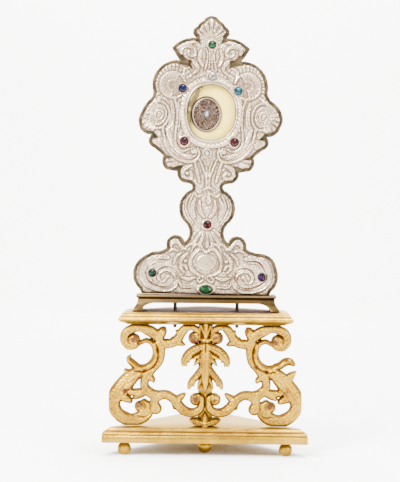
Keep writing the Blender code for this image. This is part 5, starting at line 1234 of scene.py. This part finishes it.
# Grooves cut back between the scrolls: stroke and depth
CHASED_GROOVES = [
    ([(50, 41, 1.2), (60, 38.6, 3.0), (68, 32, 3.4), (70.4, 22.5, 3.4), (66, 13.4, 3.0), (57, 8.6, 2.4),
      (46, 7.6, 1.2)], 1.5),
    ([(36.5, 12, 1.2), (33.6, 19, 1.8), (37, 27.4, 1.8), (45, 31.2, 1.8), (53.5, 28.5, 1.6), (56.6, 20, 1.2)],
     1.3),
    ([(30, 14, 1.2), (24, 12.6, 1.8), (14, 13, 1.2)], 1.0),
    ([(24.5, 96, 1.0), (22.6, 108, 1.6), (17, 117, 1.0)], 0.9),
    ([(56, 196, 1.2), (50.6, 186, 2.0), (44, 171, 2.0), (33, 160.4, 1.6), (24, 156.4, 1.0)], 1.2),
    ([(36.5, 183, 1.0), (33.5, 176.5, 1.8), (25.5, 171.6, 1.4)], 1.0),
]
SHELL_UPPER = (43.0, 241.5)
SHELL_SIDE = (60.5, 207.0)


def round_point(centre, r, degrees, width, stretch=1.0):
    turn = math.radians(degrees)
    return centre[0] + r * math.cos(turn), centre[1] + r * stretch * math.sin(turn), width


def shell_chasing():
    """The ringed upper shell with its gadrooned border, and the side shell with its scalloped fan."""
    strokes = []
    ring = [round_point(SHELL_UPPER, 14.8, a, 3.4) for a in range(165, -136, -15)]
    strokes.append((ring, rounded, 2.5))
    for a in range(-42, 160, 12):
        petal = [round_point(SHELL_UPPER, 17.4, a, 2.2), round_point(SHELL_UPPER, 23.4, a, 4.6)]
        strokes.append((petal, fluted, 2.3))
    edge = [round_point(SHELL_UPPER, 24.4, a, 1.6) for a in range(-45, 160, 10)]
    strokes.append((edge, beaded, 1.0))
    for a in range(-78, 118, 16):
        rib = [round_point(SHELL_UPPER, 3.0, a, 1.2), round_point(SHELL_UPPER, 12.2, a, 3.4)]
        strokes.append((rib, fluted, 2.0))
    strokes.append(([round_point(SHELL_UPPER, 6.2, a, 2.0) for a in range(100, -81, -20)], rounded, 1.2))
    oval = [round_point(SHELL_SIDE, 12.6, a, 3.0, 1.25) for a in range(70, 291, 15)]
    strokes.append((oval, rounded, 2.4))
    inner = [round_point(SHELL_SIDE, 8.8, a, 2.0, 1.25) for a in range(80, 281, 15)]
    strokes.append((inner, beaded, 1.2))
    for a in range(-72, 73, 16):
        reach = 18.4 if abs(a) < 50 else 15.5
        petal = [round_point(SHELL_SIDE, 5.0, a, 1.6), round_point(SHELL_SIDE, reach, a, 5.0, 1.12)]
        strokes.append((petal, fluted, 2.6))
    strokes.append(([round_point(SHELL_SIDE, 4.6, a, 2.2, 1.2) for a in range(0, 361, 20)], rounded, 1.5))
    return strokes


# Broad swells that the sheet is first raised to: middle, reach across and up, rise
SWELLS = [(42, 242, 24, 26, 1.4), (64, 206, 20, 22, 1.2), (0, 100, 28, 24, 1.6), (0, 303, 18, 16, 1.2),
          (56, 22, 28, 26, 1.2), (0, 36, 12, 10, 0.8), (24, 281, 20, 12, 1.0), (44, 176, 20, 20, 1.0)]
# Small dark nails that hold the sheet
NAILS = [(0, 303.5), (-31.4, 261.6), (-36.8, 252.2), (-46.4, 233.6), (33.4, 262.4), (60, 41.5), (-59, 42.2),
         (-51.5, 176), (53.0, 175), (-41.6, 55.4), (42.8, 54.6), (70.4, 207.8), (-70.0, 208.8)]


SILVER_DRAWING = ((-83.5, -2.5), (85.5, 321.5), 0.62)
RIM_SHOWN = 4.0
SHEET_RISE, SHEET_EDGE = 1.5, 0.7
# The ring round the window: how far outside the opening, and how high
RING_PROFILE = [(0, 2.6), (0.5, 3.5), (1.4, 3.9), (2.2, 3.5), (3.0, 2.6), (3.6, 2.9), (4.4, 3.7), (5.6, 4.0),
                (6.8, 3.2), (7.6, 3.5), (8.4, 3.1), (9.2, 1.6)]
RING_REACH = 9.2
SEAT_RISE, SEAT_LIP = 3.0, 1.4
# The smooth field of the cartouche: its middle and half sizes
FIELD_MIDDLE, FIELD_HALF = (0.5, 37.5), (11.2, 9.4)
NAIL_RADIUS = 1.1


def swayed_line(points):
    line = smooth_line(points)
    line[:, 0] = sway(line[:, 0], line[:, 1])
    return line


def faded(height, other, share):
    """One relief passing into another."""
    return height * (1 - share) + other * share


def silver_ground():
    ground = CarvingGround(*SILVER_DRAWING)
    x, z = ground.x, ground.z
    ax = abs(x)
    # Outline: inside the brass rim, a little wavy, with its notches and the window cut out
    wavy = 0.35 * np.sin(x * 0.9 + 2.1 * np.sin(z * 0.37)) * np.sin(z * 0.75 + 1.3 * np.sin(x * 0.52))
    outline = board_edge()
    outline[outline[:, 1] < 0.5, 1] = -3.2
    edge = depth_inside(outline, x, z) - RIM_SHOWN - wavy
    for notch in NOTCHES:
        for side in (-1, 1):
            polygon = np.array([(sway(side * a, b), b) for a, b in notch])
            edge = np.minimum(edge, -depth_inside(polygon, x, z))
    margin = window_margin(x, z)
    edge = np.minimum(edge, margin)
    # Broad swells, then the chased strokes with a trench round each
    swell = np.zeros(x.shape)
    for sx, sz, w, h, rise in SWELLS:
        away = ((ax - sx) / w) ** 2 + ((z - sz) / h) ** 2
        swell = np.maximum(swell, rise * np.clip(1 - away, 0, 1))
    half = HALF_CHASING + shell_chasing()
    relief = CarvingGround(*SILVER_DRAWING)
    for points, form, rise in half + mirrored(half) + WHOLE_CHASING:
        relief.raise_line(swayed_line(points), rise, form)
    between = relief.inside < 0
    raised = np.clip(relief.height, 0, None)
    trench = np.clip(relief.inside + 1.1, 0, 1.1) - np.clip(relief.inside, 0, 1.1)
    ground.height = SHEET_RISE + swell + raised - 0.60 * np.clip(trench, 0, 1) * between
    # Ring round the window with its rope, flat seats for the stones, and the smooth cartouche
    ring = np.interp(margin, *zip(*RING_PROFILE))
    angle = np.arctan2(z - WINDOW_MIDDLE[1], x - WINDOW_MIDDLE[0])
    rope = 0.5 * np.sin(angle * 46 + margin * 1.2) * np.exp(-((margin - 5.4) / 1.0) ** 2)
    in_ring = np.clip((RING_REACH - margin) / 1.2, 0, 1)
    ground.height = faded(ground.height, np.maximum(ring + rope, 0), in_ring)
    for sx, sz, w, h in STONE_SEATS.values():
        away = (np.hypot((x - sx) / (w / 2), (z - sz) / (h / 2)) - 1) * min(w, h) / 2
        seat = np.clip(1 - (away - SEAT_LIP) / SEAT_LIP, 0, 1)
        ground.height = faded(ground.height, SEAT_RISE, seat)
    field = np.hypot((x - FIELD_MIDDLE[0]) / FIELD_HALF[0], (z - FIELD_MIDDLE[1]) / FIELD_HALF[1])
    plain = np.clip((1.02 - field) / 0.08, 0, 1)
    ground.height = faded(ground.height, 2.4 + 0.7 * np.clip(1 - field ** 2, 0, 1), plain)
    for nx, nz in NAILS:
        away = np.hypot(x - nx, z - nz)
        head = np.clip(1 - (away / NAIL_RADIUS) ** 2, 0, 1)
        ground.height += 0.5 * head - 0.5 * np.exp(-((away - 1.5) / 0.4) ** 2)
    # Matting and small foliage between the scrolls, and a worked border along the edge
    matting = np.sin(x * 4.1 + 2 * np.sin(z * 1.7)) * np.sin(z * 4.3 + 2 * np.sin(x * 1.9))
    ground.height += 0.07 * matting * between * (margin > 9)
    curl_x = np.sin(1.75 * ax + 1.5 * np.sin(1.15 * z + 0.8) + 0.6 * z)
    curl_z = np.sin(1.55 * z + 1.6 * np.sin(1.05 * ax))
    foliage = 0.34 * np.clip(0.5 - relief.inside, 0, 1) + 0.06
    ground.height += foliage * (curl_x * curl_z) * (margin > RING_REACH) * (1 - plain)
    border = 0.55 + 0.45 * np.sin(2.3 * x + 0.6 * z) * np.sin(2.1 * z - 0.4 * x)
    ground.height += 0.7 * border * np.exp(-((edge - 1.9) / 0.75) ** 2) * (margin > 3)
    ground.height = SHEET_EDGE + (ground.height - SHEET_EDGE) * rolled(edge, 1.5)
    ground.inside = edge
    for points, depth in CHASED_GROOVES + mirrored(CHASED_GROOVES):
        ground.sink_line(swayed_line(points), depth)
    ground.soften(0.30)
    ground.height = np.clip(ground.height, 0.4, 5.9)
    # Tarnish lies in the low parts; the ringed shell is made darker, and the smooth cartouche is darkened as
    # a painted reflection
    in_shell = np.hypot(ax - SHELL_UPPER[0], z - SHELL_UPPER[1]) / 12.5
    ground.grime_and_shade = 0.11 * (3.4 - ground.height) + 0.42 * np.clip(3.0 - 2.6 * in_shell, 0, 1) + 0.17 * plain
    return ground


# Silver: polished where it stands proud, brown-grey with tarnish and old polish in its hollows
SILVER_TARNISH_AND_REFLECTION, SILVER_SPECKS = (0.115, 0.078, 0.050), (0.40, 0.30, 0.24)
silver_finish, tree, shader = principled("chased_silver", Metallic=0.88)
age = aged(tree, Hollow_Depth=0.42, Cloud_Scale=28.0, Speck_Scale=620.0, Speck_Amount=0.23)
polish = toned(tree, age["Cloud"],
               [(0.36, (0.33, 0.25, 0.165)), (0.50, (0.48, 0.385, 0.27)), (0.66, (0.41, 0.31, 0.22))])
# Tarnish in the hollows, and a painted reflection darkening the smooth cartouche
polish = overlaid(tree, stretched(tree, age["Hollow"], 0.05, 1.0, 0.0, 0.92), polish, SILVER_TARNISH_AND_REFLECTION)
polish = overlaid(tree, age["Specks"], polish, SILVER_SPECKS, "MULTIPLY")
feed(tree, shader, Base_Color=polish, Roughness=stretched(tree, age["Hollow"], 0.0, 1.0, 0.26, 0.62))
hammered = textured(tree, "Noise", Scale=260.0, Detail=4.0, Roughness=0.6)
roughened(tree, shader, hammered.outputs["Fac"], 0.50, 0.0007)

SILVER_GAP = 0.0003
silver = solid_from_ground("chased_silver_front", silver_ground(), laid_on(BOARD_FRONT - SILVER_GAP),
                           hollow_reach=1.3)
dress(silver, "silver_front", silver_finish, 60)

# Stones: eleven cut-glass stones, each foiled behind and held in a small collet, a thin gilt or
# silver cup whose rim is rubbed over the stone's edge. Each sits on a flat seat in the silver.
GLASS_COLOURS = {
    "green_top": (0.001, 0.022, 0.008), "clear_upper": (0.44, 0.41, 0.36),
    "blue_left": (0.001, 0.001, 0.018), "turquoise_right": (0.001, 0.042, 0.058),
    "dark_ruby_left": (0.010, 0.001, 0.003), "ruby_right": (0.027, 0.001, 0.003),
    "clear_middle": (0.42, 0.39, 0.34), "ruby_low": (0.024, 0.001, 0.003),
    "green_left": (0.001, 0.010, 0.006), "purple_right": (0.012, 0.004, 0.017),
    "green_oval_bottom": (0.001, 0.024, 0.005),
}


def oval_on_plaque(centre, width, height, y, sides, turn=0.0):
    """A ring of points on the plaque: centre and sizes in drawing millimetres, depth in the frame."""
    angles = np.arange(sides) * 2 * math.pi / sides + turn
    return on_plaque(centre[0] + width / 2 * np.cos(angles), centre[1] + height / 2 * np.sin(angles), y)


def oval_steps(centre, size, box, steps, sides):
    """Rings of a shallow oval piece: steps of (size share, growth, share of the depth) from its back."""
    (_, front, _), (_, back, _) = box
    rings = []
    for share, grow, depth in steps:
        width, height = size[0] * share + grow, size[1] * share + grow
        rings.append(oval_on_plaque(centre, width, height, back - depth * (back - front), sides))
    return rings


# Collet from its base to its rim and down inside: growth, share of the depth, and how deep it lies
COLLET_STEPS = [(0.0, 0.0, 1.2), (0.0, 0.22, 1.4), (-0.25, 0.32, 0.8), (-0.1, 0.55, 0.2), (-0.15, 0.88, -0.3),
                (-0.45, 1.0, -0.6), (-1.0, 0.985, -0.2), (-1.25, 0.86, 0.5), (-1.3, 0.30, 1.8)]


def set_collet(name, centre, box, finish):
    size = ((box[1][0] - box[0][0]) * 1000, (box[1][2] - box[0][2]) * 1000)
    rings = oval_steps(centre, size, box, [(1.0, grow, depth) for grow, depth, _ in COLLET_STEPS], 36)
    collet = lofted("set_" + name, rings, [hollow for _, _, hollow in COLLET_STEPS])
    dress(collet, name, finish, 60)


# Stone: its pavilion and girdle, then its star and its table, whose every other corner is drawn
# in or out
STONE_STEPS = [(0.70, 0.0, 0.0), (0.985, 0.0, 0.30), (0.985, 0.0, 0.36)]
STAR_STEPS = [(0.84, 0.0, 0.72), (0.76, 0.0, 0.72)]
TABLE_STEPS = [(0.50, 0.0, 1.0), (0.56, 0.0, 1.0)]


def cut_stone(name, centre, size, box, finish):
    """Eight-sided brilliant: girdle, star facets up to a table, and a shallow pavilion below."""
    rings = oval_steps(centre, size, box, STONE_STEPS, 16)
    for steps in (STAR_STEPS, TABLE_STEPS):
        facets, others = oval_steps(centre, size, box, steps, 16)
        facets[1::2] = others[1::2]
        rings.append(facets)
    dress(lofted("cut_" + name, rings), name, finish, 8)


def coloured_glass(name, colour, clear):
    """Glass over a crumpled foil, whose facets are lighter and darker than its colour."""
    finish, tree, shader = principled(
        name, Roughness=0.10, IOR=1.5, Specular_IOR_Level=0.5 if clear else 0.22,
        Transmission_Weight=0.6 if clear else 0.10)
    facets = textured(tree, "Voronoi", Scale=360.0)
    foil = toned(tree, facets.outputs["Color"],
                 [(0.32, [0.3 * part for part in colour]), (0.66, [1.7 * part for part in colour])])
    feed(tree, shader, Base_Color=foil)
    return finish


STONE_ROOM = 0.5
collet_silver = old_brass("collet_silver", (0.30, 0.245, 0.20), (0.22, 0.175, 0.14), (0.09, 0.065, 0.045),
                          0.30, 0.85, 120.0)
collet_gilt = old_brass("collet_gilt", (0.46, 0.25, 0.18), (0.38, 0.20, 0.14), (0.22, 0.11, 0.08),
                        0.30, 0.85, 120.0)
for stone_name, (x, z, width, height) in STONE_SEATS.items():
    metal = collet_gilt if stone_name == "dark_ruby_left" else collet_silver
    set_collet("collet_" + stone_name, (x, z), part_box("collet_" + stone_name), metal)
    glass = coloured_glass("glass_" + stone_name, GLASS_COLOURS[stone_name], stone_name.startswith("clear"))
    cut_stone("stone_" + stone_name, (x, z), (width - STONE_ROOM, height - STONE_ROOM),
              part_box("stone_" + stone_name), glass)

# Window lining: card covered with ivory silk and laid in the pocket, creased where the cloth is
# folded at the upper left, with an oval hole for the relic case.
LINING_DRAWING = ((-29, 175), (33, 246), 0.5)
LINING_LEDGE = 1.4
HOLE_MIDDLE, HOLE_HALF, HOLE_REACH = (-3.9, 209.3), (17.5, 20.5), 18.8
SILK_FOLD = [(-23.5, 214, 4), (-23, 222, 6), (-20, 230, 8), (-15.5, 236, 7), (-11, 239, 3)]
SILK_CREASES = [
    ([(-22, 200, 1.4), (-20.4, 212, 2.4), (-17.6, 222, 2.6), (-13.2, 229.6, 2.2)], 1.3),
    ([(-18.5, 236.5, 1.2), (-12.5, 230.5, 2.2), (-9, 232.6, 1.2)], 1.0),
]


def lining_ground():
    ground = CarvingGround(*LINING_DRAWING)
    x, z = ground.x, ground.z
    hole_x, hole_z = (x - HOLE_MIDDLE[0]) / HOLE_HALF[0], (z - HOLE_MIDDLE[1]) / HOLE_HALF[1]
    hole_edge = (np.hypot(hole_x, hole_z) - 1) * HOLE_REACH
    outer_edge = LINING_LEDGE - window_margin(x, z)
    ground.inside = np.minimum(outer_edge, hole_edge)
    padding = 0.75 * np.clip(hole_edge / 7.0, 0, 1) * np.clip(outer_edge / 5.0, 0, 1)
    ground.height = 2.0 + padding - 0.9 * (1 - rolled(ground.inside, 1.1))
    fold = CarvingGround(*LINING_DRAWING)
    fold.raise_line(smooth_line(SILK_FOLD), 2.0, rounded)
    ground.height += np.clip(fold.height, 0, None)
    for points, depth in SILK_CREASES:
        ground.sink_line(smooth_line(points), depth)
    ground.soften(0.55)
    ground.height = np.clip(ground.height, 0.6, 5.2)
    # Painted shade on the silk at its left, where the window's rim shades it, and along the fold
    shade_at_left = np.clip((-15.5 - x) / 5.0, 0, 1)
    shade_at_left *= np.clip((226 - z) / 6.0, 0, 1) * np.clip((z - 190) / 10.0, 0, 1)
    shade_along_fold = np.exp(-((x + 17.5 - 0.55 * (z - 229)) / 2.8) ** 2) * np.clip((z - 216) / 6.0, 0, 1)
    ground.grime_and_shade = 0.9 * shade_at_left + 1.6 * shade_along_fold
    return ground


silk, tree, shader = principled("ivory_silk", Roughness=0.62, Sheen_Weight=0.35)
age = aged(tree, Hollow_Depth=1.0, Cloud_Scale=60.0, Speck_Scale=600.0, Speck_Amount=0.05)
cloth = toned(tree, age["Cloud"], [(0.30, (0.50, 0.37, 0.040)), (0.62, (0.60, 0.46, 0.075))])
# Painted shade darkens the silk in its hollows, at its left and along its fold
feed(tree, shader, Base_Color=overlaid(tree, age["Hollow"], cloth, (0.15, 0.11, 0.03), "MULTIPLY"))
threads = textured(tree, "Wave", Scale=420.0, Distortion=1.2)
roughened(tree, shader, threads.outputs["Fac"], 0.20, 0.0003)
lining = solid_from_ground("silk_lining", lining_ground(), laid_on(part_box("window_lining")[1][1]),
                           hollow_reach=1.5)
dress(lining, "window_lining", silk, 60)

# Relic case: a shallow oval box of plated brass with a rolled rim, open to the front.
# It sits in the pocket behind the window, in the lining's hole.
CASE_MIDDLE, CASE_SIZE = (-3.3, 208.7), (33.0, 39.0)
# From its back to its rim and down inside: growth, share of the depth, and how deep it lies
CASE_STEPS = [(0.0, 0.0, 0.6), (0.0, 0.70, 0.3), (-0.15, 0.78, 1.0), (0.0, 0.86, 0.0), (-0.25, 0.96, -0.5),
              (-1.2, 1.0, -0.9), (-2.6, 0.99, -0.5), (-3.2, 0.93, 0.3), (-3.5, 0.84, 1.0), (-1.95, 0.70, 1.4),
              (-1.95, 0.19, 1.6)]
case_rings = oval_steps(CASE_MIDDLE, CASE_SIZE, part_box("relic_case"),
                        [(1.0, grow, depth) for grow, depth, _ in CASE_STEPS], 72)
case = lofted("plated_relic_case", case_rings, [hollow for _, _, hollow in CASE_STEPS])
case_metal = old_brass("case_plating", (0.15, 0.112, 0.09), (0.115, 0.083, 0.064), (0.06, 0.04, 0.028),
                       0.36, 0.75, 90.0)
dress(case, "relic_case", case_metal, 50)

# Relic ground: a padded red-brown cloth with rows of small gilt-paper coils round a diamond mount,
# which holds the small dark relic on pale paper within a grey-blue edge.
GROUND_BOX, GROUND_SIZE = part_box("relic_ground"), (30.6, 36.6)
ground_front = GROUND_BOX[0][1]
PAD_STEPS = [(1.0, 0.0, 0.0), (1.0, 0.0, 0.35), (0.96, 0.0, 0.55), (0.80, 0.0, 0.85), (0.5, 0.0, 1.0)]
cloth_pad = lofted("padded_ground", oval_steps(CASE_MIDDLE, GROUND_SIZE, GROUND_BOX, PAD_STEPS, 48),
                   [1.0, 0.8, 0.4, 0.0, 0.0])
red_cloth, tree, shader = principled("red_brown_cloth", Roughness=0.75)
age = aged(tree, Hollow_Depth=1.0, Cloud_Scale=320.0, Speck_Scale=900.0, Speck_Amount=0.16)
feed(tree, shader, Base_Color=toned(tree, age["Cloud"],
                                    [(0.35, (0.024, 0.010, 0.007)), (0.60, (0.052, 0.024, 0.015))]))
dress(cloth_pad, "relic_ground", red_cloth, 60)


def coil(place, radius, wire):
    bpy.ops.object.select_all(action="DESELECT")
    bpy.ops.mesh.primitive_torus_add(major_segments=20, minor_segments=6, major_radius=radius / 1000,
                                     minor_radius=wire / 1000, rotation=(math.pi / 2, 0, 0))
    ring = bpy.context.object
    bpy.ops.object.transform_apply(rotation=True)
    centre = Vector(on_plaque(place[0], place[1], ground_front))
    for vertex in ring.data.vertices:
        vertex.co = centre + vertex.co * (1.0 + 0.06 * math.sin(vertex.co.x * 9000))
    return ring


# Rows of coils: how many, how far out, and their radius. The middle row stands half a coil on.
COIL_ROWS = [(18, 0.84, 1.35, 0.0), (12, 0.60, 1.25, 0.5), (8, 0.38, 0.95, 0.0)]
coils = []
for count, share, radius, shift in COIL_ROWS:
    for i in range(count):
        turn = 2 * math.pi * (i + shift) / count
        spot = (CASE_MIDDLE[0] + GROUND_SIZE[0] / 2 * share * math.cos(turn),
                CASE_MIDDLE[1] + GROUND_SIZE[1] / 2 * share * math.sin(turn))
        coils.append(coil(spot, radius, 0.26))
        coils.append(coil(spot, radius * 0.45, 0.20))
gilt_paper = old_brass("gilt_paper", (0.27, 0.165, 0.075), (0.18, 0.105, 0.05), (0.06, 0.034, 0.018),
                       0.40, 0.5, 400.0)
dress(joined("paper_coils", *coils[1:], coils[0]), "relic_ground", gilt_paper, 60)


def diamond(name, size, rise, finish):
    """A pointed oval plate with a bevelled face, set upright on the ground's middle."""
    angles = np.arange(24) * 2 * math.pi / 24
    pointed_x = np.sign(np.cos(angles)) * abs(np.cos(angles)) ** 1.45
    pointed_z = np.sign(np.sin(angles)) * abs(np.sin(angles)) ** 1.45
    rings = []
    for share, lift in ((1.0, 0.0), (1.0, 0.5), (0.72, 1.0)):
        rings.append(on_plaque(CASE_MIDDLE[0] + 0.3 + size[0] / 2 * share * pointed_x,
                               CASE_MIDDLE[1] + 1.2 + size[1] / 2 * share * pointed_z,
                               ground_front - rise * lift / 1000))
    plate = lofted(name, rings, [1.0, 0.0, -0.3])
    dress(plate, "relic_ground", finish, 30)


blue_grey = old_brass("blue_grey_mount", (0.115, 0.13, 0.15), (0.08, 0.092, 0.11), (0.035, 0.042, 0.055),
                      0.35, 0.5, 300.0)
paper_white, _, _ = principled("pale_paper", Base_Color=(0.60, 0.58, 0.54, 1.0), Roughness=0.5)
diamond("diamond_mount", (7.0, 9.6), 0.7, blue_grey)
diamond("paper_diamond", (3.4, 5.4), 1.0, paper_white)
diamond("dark_relic", (1.3, 1.9), 1.3, pin_iron)

# Case glass: thin, clear and slightly domed, held by the case's rim.
# The window itself has none.
GLASS_SIZE = (29.0, 35.0)
DOME_STEPS = [(1.0, 0.0, 0.0), (1.0, 0.0, 0.30), (0.96, 0.0, 0.42), (0.86, 0.0, 0.62), (0.72, 0.0, 0.80),
              (0.55, 0.0, 0.92), (0.35, 0.0, 0.98)]
dome = lofted("domed_case_glass",
              oval_steps(CASE_MIDDLE, GLASS_SIZE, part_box("relic_case_glass"), DOME_STEPS, 72))
clear_glass, _, _ = principled("clear_case_glass", Base_Color=(1.0, 1.0, 1.0, 1.0), Roughness=0.03, IOR=1.15,
                               Transmission_Weight=1.0)
dress(dome, "relic_case_glass", clear_glass, 60)
